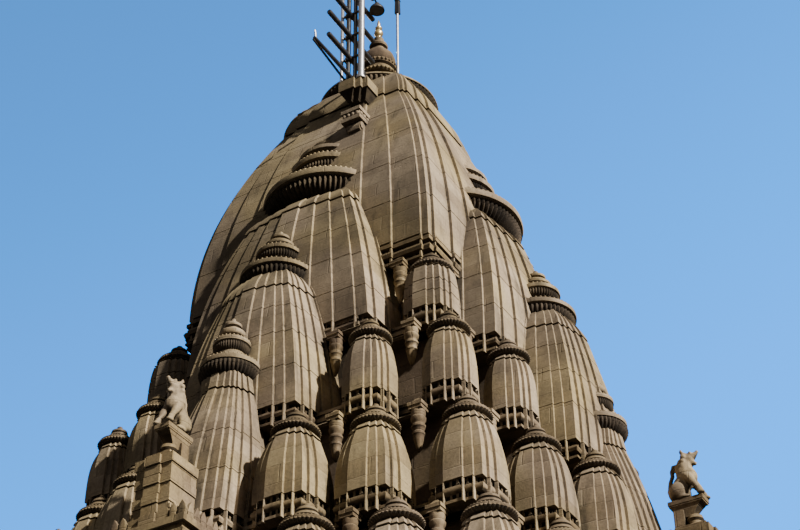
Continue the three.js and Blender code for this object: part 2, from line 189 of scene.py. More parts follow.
def along_outline(outline: Outline, spacing: float, margin: float) -> list[Spot]:
    """Evenly spaced stations on the straight runs of an outline.

    Args:
        outline: corners, anticlockwise.
        spacing: wanted distance between stations.
        margin: distance kept from each end of a run.

    Returns:
        x, y and the turn of the outward side for each station.
    """
    stations = []
    for (x0, y0), (x1, y1) in zip(outline, outline[1:] + outline[:1]):
        run = math.hypot(x1 - x0, y1 - y0) - 2 * margin
        if run <= 0:
            continue
        count = int(run / spacing) + 1
        turn = math.atan2(y1 - y0, x1 - x0)
        start = (run - (count - 1) * spacing) / 2 + margin
        for k in range(count):
            reach = start + k * spacing
            stations.append((x0 + math.cos(turn) * reach, y0 + math.sin(turn) * reach, turn))
    return stations


class Shell:
    """Closed shells gathered for one piece, in metres."""

    def __init__(self) -> None:
        """Starts empty."""
        self.points: list[Spot] = []
        self.faces: list[tuple[int, ...]] = []

    def add(self, points: Iterable[Sequence[float]], faces: Iterable[Sequence[int]]) -> "Shell":
        """Adds points and the faces between them.

        Args:
            points: new points.
            faces: corner numbers counted from the first new point.

        Returns:
            The shell itself.
        """
        base = len(self.points)
        self.points += [tuple(p) for p in points]
        self.faces += [tuple(base + i for i in face) for face in faces]
        return self

    def loft(self, rings: Sequence[tuple[Outline, float]]) -> "Shell":
        """A closed body through outlines of equal length, from the lowest up.

        Args:
            rings: outline and height of each ring.

        Returns:
            The shell itself.
        """
        count = len(rings[0][0])
        points = [(x, y, z) for outline, z in rings for x, y in outline]
        faces: list[tuple[int, ...]] = [tuple(reversed(range(count)))]
        for level in range(len(rings) - 1):
            for i in range(count):
                a, b = level * count + i, level * count + (i + 1) % count
                faces.append((a, b, b + count, a + count))
        last = (len(rings) - 1) * count
        faces.append(tuple(range(last, last + count)))
        return self.add(points, faces)

    def moulding(self, outline_at: Callable[[float], Outline], section: Plan,
                 closed: bool = True) -> "Shell":
        """A moulding along an outline, or along an open path with an end at either side.

        Args:
            outline_at: gives the outline pushed out by a distance.
            section: (out, z) corners of the moulding, anticlockwise seen with out to the right.
            closed: whether it runs right round.

        Returns:
            The shell itself.
        """
        rings = [[(x, y, z) for x, y in outline_at(out)] for out, z in section]
        count, turns = len(rings[0]), len(rings)
        faces: list[tuple[int, ...]] = []
        for j in range(turns):
            here, above = j * count, (j + 1) % turns * count
            for i in range(count if closed else count - 1):
                after = (i + 1) % count
                faces.append((here + i, here + after, above + after, above + i))
        if not closed:
            faces.append(tuple(j * count for j in range(turns)))
            faces.append(tuple(j * count + count - 1 for j in reversed(range(turns))))
        return self.add([p for ring in rings for p in ring], faces)

    def lathe(self, profile: Plan, sides: int, centre: tuple[float, float] = (0.0, 0.0)) -> "Shell":
        """A turned body.

        Args:
            profile: (radius, height) points from the bottom pole to the top pole.
            sides: number of sides.
            centre: x and y of its axis.

        Returns:
            The shell itself.
        """
        cx, cy = centre
        ring_profile = profile[1:-1]
        points = [(cx, cy, profile[0][1])]
        for radius, z in ring_profile:
            for k in range(sides):
                angle = 2 * math.pi * k / sides
                points.append((cx + radius * math.cos(angle), cy + radius * math.sin(angle), z))
        points.append((cx, cy, profile[-1][1]))
        top = len(points) - 1
        faces: list[tuple[int, ...]] = []
        for k in range(sides):
            after = (k + 1) % sides
            faces.append((0, 1 + after, 1 + k))
            for level in range(len(ring_profile) - 1):
                low, high = 1 + level * sides, 1 + (level + 1) * sides
                faces.append((low + k, low + after, high + after, high + k))
            last = 1 + (len(ring_profile) - 1) * sides
            faces.append((last + k, last + after, top))
        return self.add(points, faces)

    def box(self, low: Sequence[float], high: Sequence[float], taper: float = 0.0) -> "Shell":
        """A block whose top may be narrower than its foot.

        Args:
            low: lowest corner.
            high: highest corner.
            taper: distance by which each side of the top is drawn in.

        Returns:
            The shell itself.
        """
        def corners(inset: float) -> Outline:
            """The block's outline drawn in by a distance."""
            return [(low[0] + inset, low[1] + inset), (high[0] - inset, low[1] + inset),
                    (high[0] - inset, high[1] - inset), (low[0] + inset, high[1] - inset)]
        return self.loft([(corners(0.0), low[2]), (corners(taper), high[2])])

    def tube(self, path: Sequence[Sequence[float]], radii: Sequence[float], sides: int = 10) -> "Shell":
        """A round limb along a path, closed at both ends.

        Args:
            path: centre points.
            radii: radius at each point.
            sides: number of sides.

        Returns:
            The shell itself.
        """
        spots = [Vector(p) for p in path]
        points, faces = [], []
        for i, spot in enumerate(spots):
            along = (spots[min(i + 1, len(spots) - 1)] - spots[max(i - 1, 0)]).normalized()
            side = along.cross(Vector((0, 0, 1)) if abs(along.z) < 0.9 else Vector((1, 0, 0))).normalized()
            over = along.cross(side)
            for k in range(sides):
                angle = 2 * math.pi * k / sides
                points.append(spot + radii[i] * (math.cos(angle) * side + math.sin(angle) * over))
        for i in range(len(spots) - 1):
            for k in range(sides):
                a, b = i * sides + k, i * sides + (k + 1) % sides
                faces.append((a, b, b + sides, a + sides))
        faces.append(tuple(reversed(range(sides))))
        faces.append(tuple(range((len(spots) - 1) * sides, len(spots) * sides)))
        return self.add(points, faces)

    def ball(self, centre: Sequence[float], radii: Sequence[float], tilt: float = 0.0) -> "Shell":
        """An egg-shaped body, tilted about the x axis.

        Args:
            centre: its middle.
            radii: half sizes along x, y and z.
            tilt: angle in radians.

        Returns:
            The shell itself.
        """
        rows, sides = 10, 14
        profile = [(math.sin(math.pi * i / rows), -math.cos(math.pi * i / rows)) for i in range(rows + 1)]
        egg = Shell().lathe(profile, sides)
        spin = Matrix.Rotation(tilt, 3, "X")
        spots = [spin @ Vector([a * b for a, b in zip(p, radii)]) + Vector(centre) for p in egg.points]
        return self.add(spots, egg.faces)

    def join(self, other: "Shell") -> "Shell":
        """Adds all of another shell."""
        return self.add(other.points, other.faces)

    def moved(self, x: float, y: float, z: float) -> "Shell":
        """A copy set off by a distance."""
        return Shell().add([(p[0] + x, p[1] + y, p[2] + z) for p in self.points], self.faces)

    def turned(self, degrees: float) -> "Shell":
        """A copy turned about the tower's axis."""
        c, s = math.cos(math.radians(degrees)), math.sin(math.radians(degrees))
        return Shell().add([(c * x - s * y, s * x + c * y, z) for x, y, z in self.points], self.faces)

    def take(self, mesh: Mesh) -> "Shell":
        """Adds the faces of a mesh."""
        return self.add([v.co[:] for v in mesh.vertices], [p.vertices[:] for p in mesh.polygons])

    def mesh(self, name: str) -> Mesh:
        """A plain mesh of these shells.

        Args:
            name: its name.

        Returns:
            The mesh.
        """
        made = bpy.data.meshes.new(name)
        made.from_pydata(self.points, [], self.faces)
        made.update()
        return made


def put(name: str, data: bpy.types.ID) -> Object:
    """Puts a mesh, lamp or camera into the scene.

    Args:
        name: the object's name.
        data: what it shows.

    Returns:
        The object.
    """
    made = bpy.data.objects.new(name, data)
    bpy.context.scene.collection.objects.link(made)
    return made


def baked(carrier: Object) -> Mesh:
    """The plain mesh that an object's modifiers give; the object itself goes.

    Args:
        carrier: an object with modifiers.

    Returns:
        The new mesh.
    """
    depsgraph = bpy.context.evaluated_depsgraph_get()
    made = bpy.data.meshes.new_from_object(carrier.evaluated_get(depsgraph), depsgraph=depsgraph)
    bpy.data.objects.remove(carrier)
    return made


class Wiring:
    """Adds nodes to one tree and links them."""

    def __init__(self, tree: NodeTree) -> None:
        """Keeps the tree."""
        self.tree = tree

    def feed(self, source: object, target: NodeSocket) -> None:
        """Links a socket into a target, or sets it to a plain value.

        Args:
            source: a socket or a value.
            target: the input that takes it.
        """
        if isinstance(source, NodeSocket):
            self.tree.links.new(source, target)
        else:
            target.default_value = source

    def node(self, kind: str, inputs: dict[str | int, object] | None = None,
             **settings: object) -> Node:
        """A new node.

        Args:
            kind: its type.
            inputs: sockets or values for its inputs, by name or number.
            settings: values of its properties.

        Returns:
            The node.
        """
        made = self.tree.nodes.new(kind)
        for key, value in settings.items():
            setattr(made, key, value)
        for key, value in (inputs or {}).items():
            self.feed(value, made.inputs[key])
        return made

    def give(self, **values: object) -> NodeTree:
        """Feeds the outputs of a group and returns the group."""
        self.node("NodeGroupOutput", values)
        return self.tree

    def math(self, operation: str, *values: object) -> NodeSocket:
        """The result of one Math node."""
        return self.node("ShaderNodeMath", dict(enumerate(values)), operation=operation).outputs[0]

    def times(self, *values: object) -> NodeSocket:
        """The product of the values."""
        return reduce(lambda one, other: self.math("MULTIPLY", one, other), values)

    def blend(self, factor: object, first: object, second: object, kind: str = "MIX") -> NodeSocket:
        """The result of mixing two colours."""
        values = {0: factor, 6: first, 7: second}
        return self.node("ShaderNodeMix", values, data_type="RGBA", blend_type=kind).outputs[2]

    def spread(self, value: object, low: float, high: float, to_low: float = 0.0,
               to_high: float = 1.0) -> NodeSocket:
        """A value mapped from one range to another and held inside it."""
        values = dict(enumerate((value, low, high, to_low, to_high)))
        return self.node("ShaderNodeMapRange", values, interpolation_type="SMOOTHSTEP").outputs[0]

    def noise(self, where: NodeSocket, scale: float, detail: float, roughness: float = 0.55) -> NodeSocket:
        """The value of a noise texture."""
        values = {"Vector": where, "Scale": scale, "Detail": detail, "Roughness": roughness}
        return self.node("ShaderNodeTexNoise", values).outputs[0]

    def here(self) -> NodeSocket:
        """The point in the object's own coordinates."""
        return self.node("ShaderNodeTexCoord").outputs["Object"]

    def normal(self, which: str = "Normal") -> NodeSocket:
        """The surface's normal, bumped or true."""
        return self.node("ShaderNodeNewGeometry").outputs[which]

    def parts(self, vector: NodeSocket) -> Sequence[NodeSocket]:
        """The x, y and z of a vector."""
        return self.node("ShaderNodeSeparateXYZ", {0: vector}).outputs

    def vector(self, **parts: object) -> NodeSocket:
        """A vector made from its X, Y and Z, where given."""
        return self.node("ShaderNodeCombineXYZ", parts).outputs[0]

    def grey(self, level: NodeSocket) -> NodeSocket:
        """A grey of one brightness."""
        return self.node("ShaderNodeCombineColor", dict.fromkeys(range(3), level)).outputs[0]

    def bump(self, height: NodeSocket, strength: float, distance: float) -> NodeSocket:
        """The normal that a height gives."""
        values = {"Strength": strength, "Distance": distance, "Height": height}
        return self.node("ShaderNodeBump", values).outputs["Normal"]


def new_tree(name: str, takes: dict[str, object], gives: dict[str, str],
             kind: str = "ShaderNodeTree") -> tuple[Wiring, Sequence[NodeSocket]]:
    """A node group with named inputs and outputs.

    Args:
        name: its name.
        takes: default value of each input, or its socket type if it has no default.
        gives: socket type of each output.
        kind: the tree type.

    Returns:
        The wiring and the sockets that bring the inputs in.
    """
    tree = bpy.data.node_groups.new(name, kind)
    for label, value in takes.items():
        socket = value if isinstance(value, str) else SOCKETS[type(value)]
        made = tree.interface.new_socket(name=label, in_out="INPUT", socket_type=socket)
        if socket is not value:
            made.default_value = value
    for label, socket in gives.items():
        tree.interface.new_socket(name=label, in_out="OUTPUT", socket_type=socket)
    wiring = Wiring(tree)
    return wiring, wiring.node("NodeGroupInput").outputs


class Rules:
    """Geometry Nodes trees for what repeats on the tower."""

    def __init__(self) -> None:
        """Builds the trees once."""
        self.stand = self._stand()
        self.lobes = self._lobes()
        self.beads = self._beads()

    @staticmethod
    def _close(wiring: Wiring, geometry: NodeSocket, finish: NodeSocket) -> NodeTree:
        """Ends a tree with real geometry that carries its finish.

        Args:
            wiring: the tree's wiring.
            geometry: what the tree made.
            finish: the material's socket.

        Returns:
            The finished tree.
        """
        real = wiring.node("GeometryNodeRealizeInstances", {"Geometry": geometry}).outputs["Geometry"]
        dressed = wiring.node("GeometryNodeSetMaterial", {"Geometry": real, "Material": finish})
        return wiring.give(Geometry=dressed.outputs["Geometry"])

    def _stand(self) -> NodeTree:
        """A template stood on every point of a mesh, turned by the point's own angle.

        Returns:
            The tree.
        """
        wiring, given = new_tree("stand_on_points", {
            "Geometry": "NodeSocketGeometry", "Template": "NodeSocketObject", "Unevenness": 0.0, "Seed": 7,
            "Finish": "NodeSocketMaterial",
        }, {"Geometry": "NodeSocketGeometry"}, "GeometryNodeTree")
        template = wiring.node("GeometryNodeObjectInfo", {"Object": given["Template"]})
        angle = wiring.node("GeometryNodeInputNamedAttribute", {"Name": "turn"}, data_type="FLOAT")
        rotation = wiring.node("FunctionNodeEulerToRotation", {0: wiring.vector(Z=angle.outputs[0])})
        size = wiring.node("FunctionNodeRandomValue", {"Seed": given["Seed"]}, data_type="FLOAT")
        low, high = [s for s in size.inputs if s.type == "VALUE" and s.name in ("Min", "Max")]
        wiring.feed(wiring.math("SUBTRACT", 1.0, given["Unevenness"]), low)
        wiring.feed(wiring.math("ADD", 1.0, given["Unevenness"]), high)
        placed = wiring.node("GeometryNodeInstanceOnPoints", {
            "Points": given["Geometry"], "Instance": template.outputs["Geometry"],
            "Rotation": rotation.outputs[0], "Scale": next(s for s in size.outputs if s.type == "VALUE"),
        })
        return self._close(wiring, placed.outputs["Instances"], given["Finish"])

    def _lobes(self) -> NodeTree:
        """A turned disc whose rim is drawn into rounded ribs between two heights.

        Returns:
            The tree.
        """
        wiring, given = new_tree("ribbed_disc", {
            "Geometry": "NodeSocketGeometry", "Ribs": 24, "Depth": 0.08, "Low": 0.0, "High": 1.0,
            "Finish": "NodeSocketMaterial",
        }, {"Geometry": "NodeSocketGeometry"}, "GeometryNodeTree")
        x, y, z = wiring.parts(wiring.node("GeometryNodeInputPosition").outputs[0])
        wave = wiring.math("COSINE", wiring.times(wiring.math("ARCTAN2", y, x), given["Ribs"], 0.5))
        hollow = wiring.math("SUBTRACT", 1.0, wiring.math("ABSOLUTE", wave))
        inside = wiring.times(wiring.math("GREATER_THAN", z, given["Low"]),
                              wiring.math("LESS_THAN", z, given["High"]))
        drawn = wiring.times(hollow, inside, given["Depth"])
        factor = wiring.math("SUBTRACT", 1.0, drawn)
        moved = wiring.vector(X=wiring.times(x, factor), Y=wiring.times(y, factor), Z=z)
        shaped = wiring.node("GeometryNodeSetPosition", {"Geometry": given["Geometry"], "Position": moved})
        return self._close(wiring, shaped.outputs["Geometry"], given["Finish"])

    def _beads(self) -> NodeTree:
        """A ring of beads at one height.

        Returns:
            The tree.
        """
        wiring, given = new_tree("bead_ring", {
            "Count": 24, "Ring Radius": 0.5, "Bead Radius": 0.02, "Height": 0.0,
            "Finish": "NodeSocketMaterial",
        }, {"Geometry": "NodeSocketGeometry"}, "GeometryNodeTree")
        ring = wiring.node("GeometryNodeMeshCircle", {"Vertices": given["Count"],
                                                      "Radius": given["Ring Radius"]})
        bead = wiring.node("GeometryNodeMeshUVSphere", {"Segments": 6, "Rings": 4,
                                                        "Radius": given["Bead Radius"]})
        placed = wiring.node("GeometryNodeInstanceOnPoints", {"Points": ring.outputs["Mesh"],
                                                              "Instance": bead.outputs["Mesh"]})
        raised = wiring.node("GeometryNodeTransform", {"Geometry": placed.outputs["Instances"],
                                                       "Translation": wiring.vector(Z=given["Height"])})
        return self._close(wiring, raised.outputs["Geometry"], given["Finish"])


def grow(tree: NodeTree, mesh: Mesh, **values: object) -> Mesh:
    """The plain mesh that a tree makes of a mesh.

    Args:
        tree: the Geometry Nodes tree.
        mesh: what it starts from.
        values: input values by name, with _ for a space.

    Returns:
        The new mesh.
    """
    carrier = put("carrier", mesh)
    modifier = carrier.modifiers.new("rule", "NODES")
    modifier.node_group = tree
    sockets = {item.name: item.identifier for item in tree.interface.items_tree
               if item.item_type == "SOCKET" and item.in_out == "INPUT"}
    for name, value in values.items():
        modifier[sockets[name.replace("_", " ")]] = value
    return baked(carrier)


def new_material(name: str) -> tuple[Material, Wiring, Node]:
    """A material that has only its shader yet.

    Args:
        name: its name.

    Returns:
        The material, its wiring and its shader.
    """
    made = bpy.data.materials.new(name)
    made.use_nodes = True
    return made, Wiring(made.node_tree), made.node_tree.nodes["Principled BSDF"]


@dataclass(frozen=True)
class StoneFinish:
    """Weathered basalt: warm where the sun bleaches it, streaked brown-black, with painted shade.

    course, block and joint are the height and length of a block and the width of its joint.
    Painted shade fills recesses as wide as reach and darkens faces that look down, wear is as wide
    as edge, and dirt with painted shade thickens on faces towards -Y between grime_low and
    grime_high. soot is the colour of the streaks, the joints and the painted shade. stain, wear,
    block_tone, grime, recess and joint_shade are shares.
    """

    pale: Colour
    deep: Colour
    soot: Colour
    stain: float = 0.62
    wear: float = 0.35
    course: float = 0.29
    block: float = 1.15
    joint: float = 0.007
    block_tone: float = 0.42
    grime: float = 0.64
    recess: float = 0.85
    joint_shade: float = 0.2
    bleach: float = 1.25
    grain: float = 0.012
    reach: float = 0.32
    edge: float = 0.018
    grime_low: float = 14.5
    grime_high: float = 19.5

    def material(self, name: str, groups: dict[str, NodeTree]) -> Material:
        """The finished material.

        Args:
            name: its name.
            groups: the shader groups by name.

        Returns:
            The material.
        """
        made, wiring, shader = new_material(name)

        def group(key: str, **values: object) -> Sequence[NodeSocket]:
            """The outputs of a group with some inputs set."""
            inputs = {label.replace("_", " "): value for label, value in values.items()}
            return wiring.node("ShaderNodeGroup", inputs, node_tree=groups[key]).outputs

        weather = group("weathering", Pale=self.pale, Deep=self.deep, Stain=self.soot,
                        Stain_Amount=self.stain)
        courses = group("courses", Course=self.course, Block=self.block, Joint=self.joint)
        # Painted shade in recesses and under overhangs, and dirt with painted shade on the upper faces
        # towards -Y.
        soot = group("soot", Reach=self.reach)
        grime = group("high_grime", Low=self.grime_low, High=self.grime_high)
        worn = group("edge_wear", Radius=self.edge)
        colour = wiring.blend(self.block_tone, weather["Colour"], courses["Tone"], "SOFT_LIGHT")
        # Dirt with painted shade, painted shade in recesses and under overhangs, and the dark joints, all in
        # the dark colour.
        for mask, share in ((grime["Mask"], self.grime), (soot["Mask"], self.recess),
                            (courses["Joint"], self.joint_shade)):
            colour = wiring.blend(wiring.times(mask, share), colour, self.soot)
        bleached = tuple(min(1.0, self.bleach * c) for c in self.pale[:3]) + (1.0,)
        wiring.feed(wiring.blend(wiring.times(worn["Mask"], self.wear), colour, bleached),
                    shader.inputs["Base Color"])
        wiring.feed(weather["Roughness"], shader.inputs["Roughness"])
        shader.inputs["Specular IOR Level"].default_value = 0.25
        height = wiring.math("SUBTRACT", weather["Grain"], wiring.times(courses["Joint"], 0.8))
        wiring.feed(wiring.bump(height, 0.7, self.grain), shader.inputs["Normal"])
        return made


@dataclass(frozen=True)
class MetalFinish:
    """Metal out in the weather: gilding, bare steel or paint, with tarnish in patches."""

    bright: Colour
    dull: Colour
    metallic: float
    smooth: float
    rough: float
    grain: float = 0.002

    def material(self, name: str, groups: dict[str, NodeTree]) -> Material:
        """The finished material.

        Args:
            name: its name.
            groups: the shader groups by name.

        Returns:
            The material.
        """
        made, wiring, shader = new_material(name)
        patches = wiring.node("ShaderNodeGroup", node_tree=groups["tarnish"]).outputs
        wiring.feed(wiring.blend(patches["Mask"], self.bright, self.dull), shader.inputs["Base Color"])
        wiring.feed(wiring.spread(patches["Mask"], 0.0, 1.0, self.smooth, self.rough),
                    shader.inputs["Roughness"])
        shader.inputs["Metallic"].default_value = self.metallic
        wiring.feed(wiring.bump(patches["Grain"], 0.3, self.grain), shader.inputs["Normal"])
        return made


class ShaderGroups:
    """The shader groups that the finishes share."""

    def __init__(self) -> None:
        """Builds each group once."""
        self.trees = {
            "weathering": self._weathering(), "courses": self._courses(), "soot": self._soot(),
            "high_grime": self._high_grime(), "edge_wear": self._edge_wear(), "tarnish": self._tarnish(),
        }

    @staticmethod
    def _weathering() -> NodeTree:
        """Patches, streaks that run down, and the grain of the stone.

        Returns:
            The group.
        """
        wiring, given = new_tree("stone_weathering", {
            "Pale": (0.5, 0.42, 0.3, 1), "Deep": (0.3, 0.25, 0.18, 1), "Stain": (0.05, 0.04, 0.03, 1),
            "Stain Amount": 0.5,
        }, {"Colour": "NodeSocketColor", "Roughness": "NodeSocketFloat", "Grain": "NodeSocketFloat"})
        here = wiring.here()
        long = wiring.node("ShaderNodeMapping", {"Vector": here, "Scale": (2.6, 2.6, 0.28)}).outputs[0]
        patches = wiring.spread(wiring.noise(here, 0.9, 5.0, 0.6), 0.36, 0.66)
        streaks = wiring.spread(wiring.noise(long, 1.6, 4.0, 0.6), 0.5, 0.78)
        speckle = wiring.noise(here, 26.0, 5.0, 0.7)
        fine = wiring.noise(here, 90.0, 3.0, 0.6)
        drift = wiring.spread(wiring.noise(here, 0.55, 3.0), 0.4, 0.6)
        hue = wiring.blend(drift, (1.0, 0.985, 0.86, 1.0), (0.98, 0.97, 1.06, 1.0))
        ground = wiring.blend(1.0, wiring.blend(patches, given["Pale"], given["Deep"]), hue, "MULTIPLY")
        stained = wiring.blend(wiring.times(streaks, given["Stain Amount"]), ground, given["Stain"])
        grain = wiring.grey(wiring.spread(speckle, 0.25, 0.75, 0.36, 0.64))
        return wiring.give(
            Colour=wiring.blend(0.7, stained, grain, "OVERLAY"),
            Roughness=wiring.spread(patches, 0.0, 1.0, 0.82, 0.95),
            Grain=wiring.math("ADD", wiring.times(speckle, 0.7), wiring.times(fine, 0.3)))

    @staticmethod
    def _courses() -> NodeTree:
        """Courses of blocks: the joints between them and a tone for each block.

        Returns:
            The group.
        """
        wiring, given = new_tree("stone_courses", {
            "Course": 0.24, "Block": 0.6, "Joint": 0.008,
        }, {"Joint": "NodeSocketFloat", "Tone": "NodeSocketColor"})
        x, y, z = wiring.parts(wiring.here())
        facing = wiring.parts(wiring.normal("True Normal"))
        sideways = wiring.math("GREATER_THAN", wiring.math("ABSOLUTE", facing[0]),
                               wiring.math("ABSOLUTE", facing[1]))
        across = wiring.math("ADD", wiring.times(sideways, y),
                             wiring.times(wiring.math("SUBTRACT", 1.0, sideways), x))
        rise = wiring.math("DIVIDE", z, given["Course"])
        row = wiring.math("FLOOR", rise)
        offset = wiring.math("FRACT", wiring.times(row, 0.377))
        run = wiring.math("ADD", wiring.math("DIVIDE", across, given["Block"]), offset)
        thin = wiring.math("DIVIDE", given["Joint"], given["Course"])
        near_end = wiring.times(wiring.math("PINGPONG", run, 0.5), 2.4)
        level = wiring.math("MINIMUM", wiring.math("PINGPONG", rise, 0.5), near_end)
        joint = wiring.math("SUBTRACT", 1.0, wiring.math("DIVIDE", level, thin))
        number = wiring.vector(X=row, Y=wiring.math("FLOOR", run), Z=sideways)
        chance = wiring.node("ShaderNodeTexWhiteNoise", {"Vector": number}, noise_dimensions="3D")
        return wiring.give(
            Joint=wiring.math("MAXIMUM", wiring.math("MINIMUM", joint, 1.0), 0.0),
            Tone=wiring.grey(wiring.spread(chance.outputs["Value"], 0.0, 1.0, 0.3, 0.72)))

    @staticmethod
    def _soot() -> NodeTree:
        """Painted shade where the stone is closed in and on faces that look down.

        Returns:
            The group.
        """
        wiring, given = new_tree("recess_soot", {"Reach": 0.3}, {"Mask": "NodeSocketFloat"})
        # Painted shade: darker where the stone sees little open sky and where it faces down.
        open_sky = wiring.node("ShaderNodeAmbientOcclusion", {"Distance": given["Reach"]}, samples=6)
        ragged = wiring.spread(wiring.noise(wiring.here(), 7.0, 4.0), 0.3, 0.7, -0.12, 0.12)
        closed = wiring.spread(wiring.math("ADD", open_sky.outputs["AO"], ragged), 0.2, 0.72, 1.0, 0.0)
        upward = wiring.math("ADD", wiring.parts(wiring.normal())[2], ragged)
        return wiring.give(Mask=wiring.math("MAXIMUM", closed, wiring.spread(upward, -0.7, -0.2, 1.0, 0.0)))

    @staticmethod
    def _high_grime() -> NodeTree:
        """Dirt with painted shade on the upper faces towards -Y, which the key light only grazes.

        Returns:
            The group.
        """
        wiring, given = new_tree("high_grime", {"Low": 16.5, "High": 20.5}, {"Mask": "NodeSocketFloat"})
        here = wiring.here()
        ragged = wiring.spread(wiring.noise(here, 1.4, 4.0), 0.3, 0.7, -1.2, 1.2)
        above = wiring.math("SUBTRACT", wiring.math("ADD", wiring.parts(here)[2], ragged), given["Low"])
        height = wiring.math("DIVIDE", above, wiring.math("SUBTRACT", given["High"], given["Low"]))
        # Painted shade: faces turned towards -Y, away from the key light, come out darker.
        facing = wiring.spread(wiring.parts(wiring.normal())[1], -0.85, -0.5, 1.0, 0.0)
        return wiring.give(Mask=wiring.times(wiring.spread(height, 0.0, 1.0, 0.35, 1.0),
                                             wiring.spread(height, 1.0, 1.7, 1.0, 0.7), facing))

    @staticmethod
    def _edge_wear() -> NodeTree:
        """Paler stone along the edges that weather rounds off.

        Returns:
            The group.
        """
        wiring, given = new_tree("edge_wear", {"Radius": 0.015}, {"Mask": "NodeSocketFloat"})
        rounded = wiring.node("ShaderNodeBevel", {"Radius": given["Radius"]}, samples=4)
        agree = wiring.node("ShaderNodeVectorMath", {
            0: rounded.outputs["Normal"], 1: wiring.normal("True Normal")}, operation="DOT_PRODUCT")
        broken = wiring.spread(wiring.noise(wiring.here(), 11.0, 4.0), 0.4, 0.6)
        return wiring.give(Mask=wiring.times(
            wiring.spread(agree.outputs["Value"], 0.8, 0.98, 1.0, 0.0), broken))

    @staticmethod
    def _tarnish() -> NodeTree:
        """Dull patches and fine brushing on metal.

        Returns:
            The group.
        """
        wiring, _ = new_tree("metal_tarnish", {}, {"Mask": "NodeSocketFloat", "Grain": "NodeSocketFloat"})
        here = wiring.here()
        return wiring.give(Mask=wiring.spread(wiring.noise(here, 9.0, 6.0, 0.65), 0.42, 0.68),
                           Grain=wiring.noise(here, 60.0, 3.0))


class Workshop:
    """Turns shells and meshes into finished pieces of the temple."""

    def __init__(self) -> None:
        """Builds the shared trees and materials."""
        self.rules = Rules()
        groups = ShaderGroups().trees
        finishes = {
            Finish.BASALT: StoneFinish(
                (0.44, 0.35, 0.225, 1), (0.27, 0.212, 0.14, 1), (0.02, 0.016, 0.013, 1), wear=0.5),
            Finish.SOOTY: StoneFinish(
                (0.34, 0.26, 0.155, 1), (0.14, 0.1, 0.065, 1), (0.012, 0.009, 0.008, 1), 0.7, 0.6),
            Finish.CROWN: StoneFinish(
                (0.23, 0.175, 0.11, 1), (0.095, 0.07, 0.046, 1), (0.01, 0.008, 0.007, 1), 0.75, 0.8),
            # Painted shade: near-black stone for hollows, undersides and the ribbed discs.
            Finish.HOLLOW: StoneFinish(
                (0.105, 0.079, 0.053, 1), (0.042, 0.032, 0.022, 1), (0.008, 0.006, 0.005, 1), 0.8),
            Finish.DARK_BASALT: StoneFinish(
                (0.17, 0.125, 0.08, 1), (0.09, 0.065, 0.042, 1), (0.012, 0.009, 0.007, 1)),
            Finish.GILT: MetalFinish((1.0, 0.78, 0.42, 1), (0.6, 0.42, 0.18, 1), 0.85, 0.3, 0.55),
            Finish.STEEL: MetalFinish((0.78, 0.79, 0.84, 1), (0.42, 0.42, 0.46, 1), 0.85, 0.28, 0.5),
            Finish.IRON: MetalFinish((0.02, 0.022, 0.03, 1), (0.05, 0.042, 0.036, 1), 0.2, 0.5, 0.8),
        }
        self.materials = {key: value.material(key.label, groups) for key, value in finishes.items()}

    def show(self, name: str, body: Shell | Mesh, finish: Finish, *nodes: str) -> Object:
        """Puts a piece into the scene.

        Args:
            name: the piece's name.
            body: its shells or its mesh.
            finish: what it is made of.
            nodes: the frame nodes that it stands for.

        Returns:
            The piece.
        """
        mesh = body.mesh(name) if isinstance(body, Shell) else body
        mesh.name = name
        mesh.materials.clear()
        mesh.materials.append(self.materials[finish])
        mesh.shade_smooth()
        mesh.set_sharp_from_angle(angle=SHARP)
        piece = put(name, mesh)
        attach(piece, "root")
        if nodes:
            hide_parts(*nodes)
        LOG.info("%s: %d faces", name, len(mesh.polygons))
        return piece

    def dress(self, node: str, finish: Finish) -> None:
        """Gives a frame node its finish.

        Args:
            node: the node's name.
            finish: what it is made of.
        """
        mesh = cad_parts[node].data
        mesh.materials.clear()
        mesh.materials.append(self.materials[finish])
        LOG.info("%s keeps its frame shape", node)

    def stand(self, template: Shell, places: Sequence[Station],
              finish: Finish, unevenness: float = 0.0, seed: int = 7) -> Mesh:
        """Copies of a template on every place.

        Args:
            template: what is copied.
            places: x, y, z and turn in radians of each copy.
            finish: what it is made of.
            unevenness: how much the copies differ in size.
            seed: seed of that difference.

        Returns:
            One mesh of all the copies.
        """
        points = bpy.data.meshes.new("places")
        points.from_pydata([p[:3] for p in places], [], [])
        turns = points.attributes.new("turn", "FLOAT", "POINT")
        turns.data.foreach_set("value", [p[3] for p in places])
        pattern = put("template", template.mesh("template"))
        made = grow(self.rules.stand, points, Template=pattern, Unevenness=unevenness, Seed=seed,
                    Finish=self.materials[finish])
        bpy.data.objects.remove(pattern)
        return made

    def beads(self, count: int, ring: float, bead: float, height: float) -> Shell:
        """A ring of beads.

        Args:
            count: number of beads.
            ring: radius of the ring.
            bead: radius of one bead.
            height: height of their middles.

        Returns:
            The beads as a shell.
        """
        made = grow(self.rules.beads, bpy.data.meshes.new("beads"), Count=count, Ring_Radius=ring,
                    Bead_Radius=bead, Height=height, Finish=self.materials[Finish.BASALT])
        return Shell().take(made)

    def ribbed(self, profile: Plan, ribs: int, depth: float, low: float, high: float) -> Shell:
        """A turned disc with ribs between two heights.

        Args:
            profile: (radius, height) points from pole to pole.
            ribs: number of ribs.
            depth: how deep the hollows are, as a fraction of the radius.
            low: height where the ribs start.
            high: height where they end.

        Returns:
            The disc.
        """
        disc = Shell().lathe(profile, ribs * 4).mesh("disc")
        made = grow(self.rules.lobes, disc, Ribs=ribs, Depth=depth, Low=low, High=high,
                    Finish=self.materials[Finish.BASALT])
        return Shell().take(made)


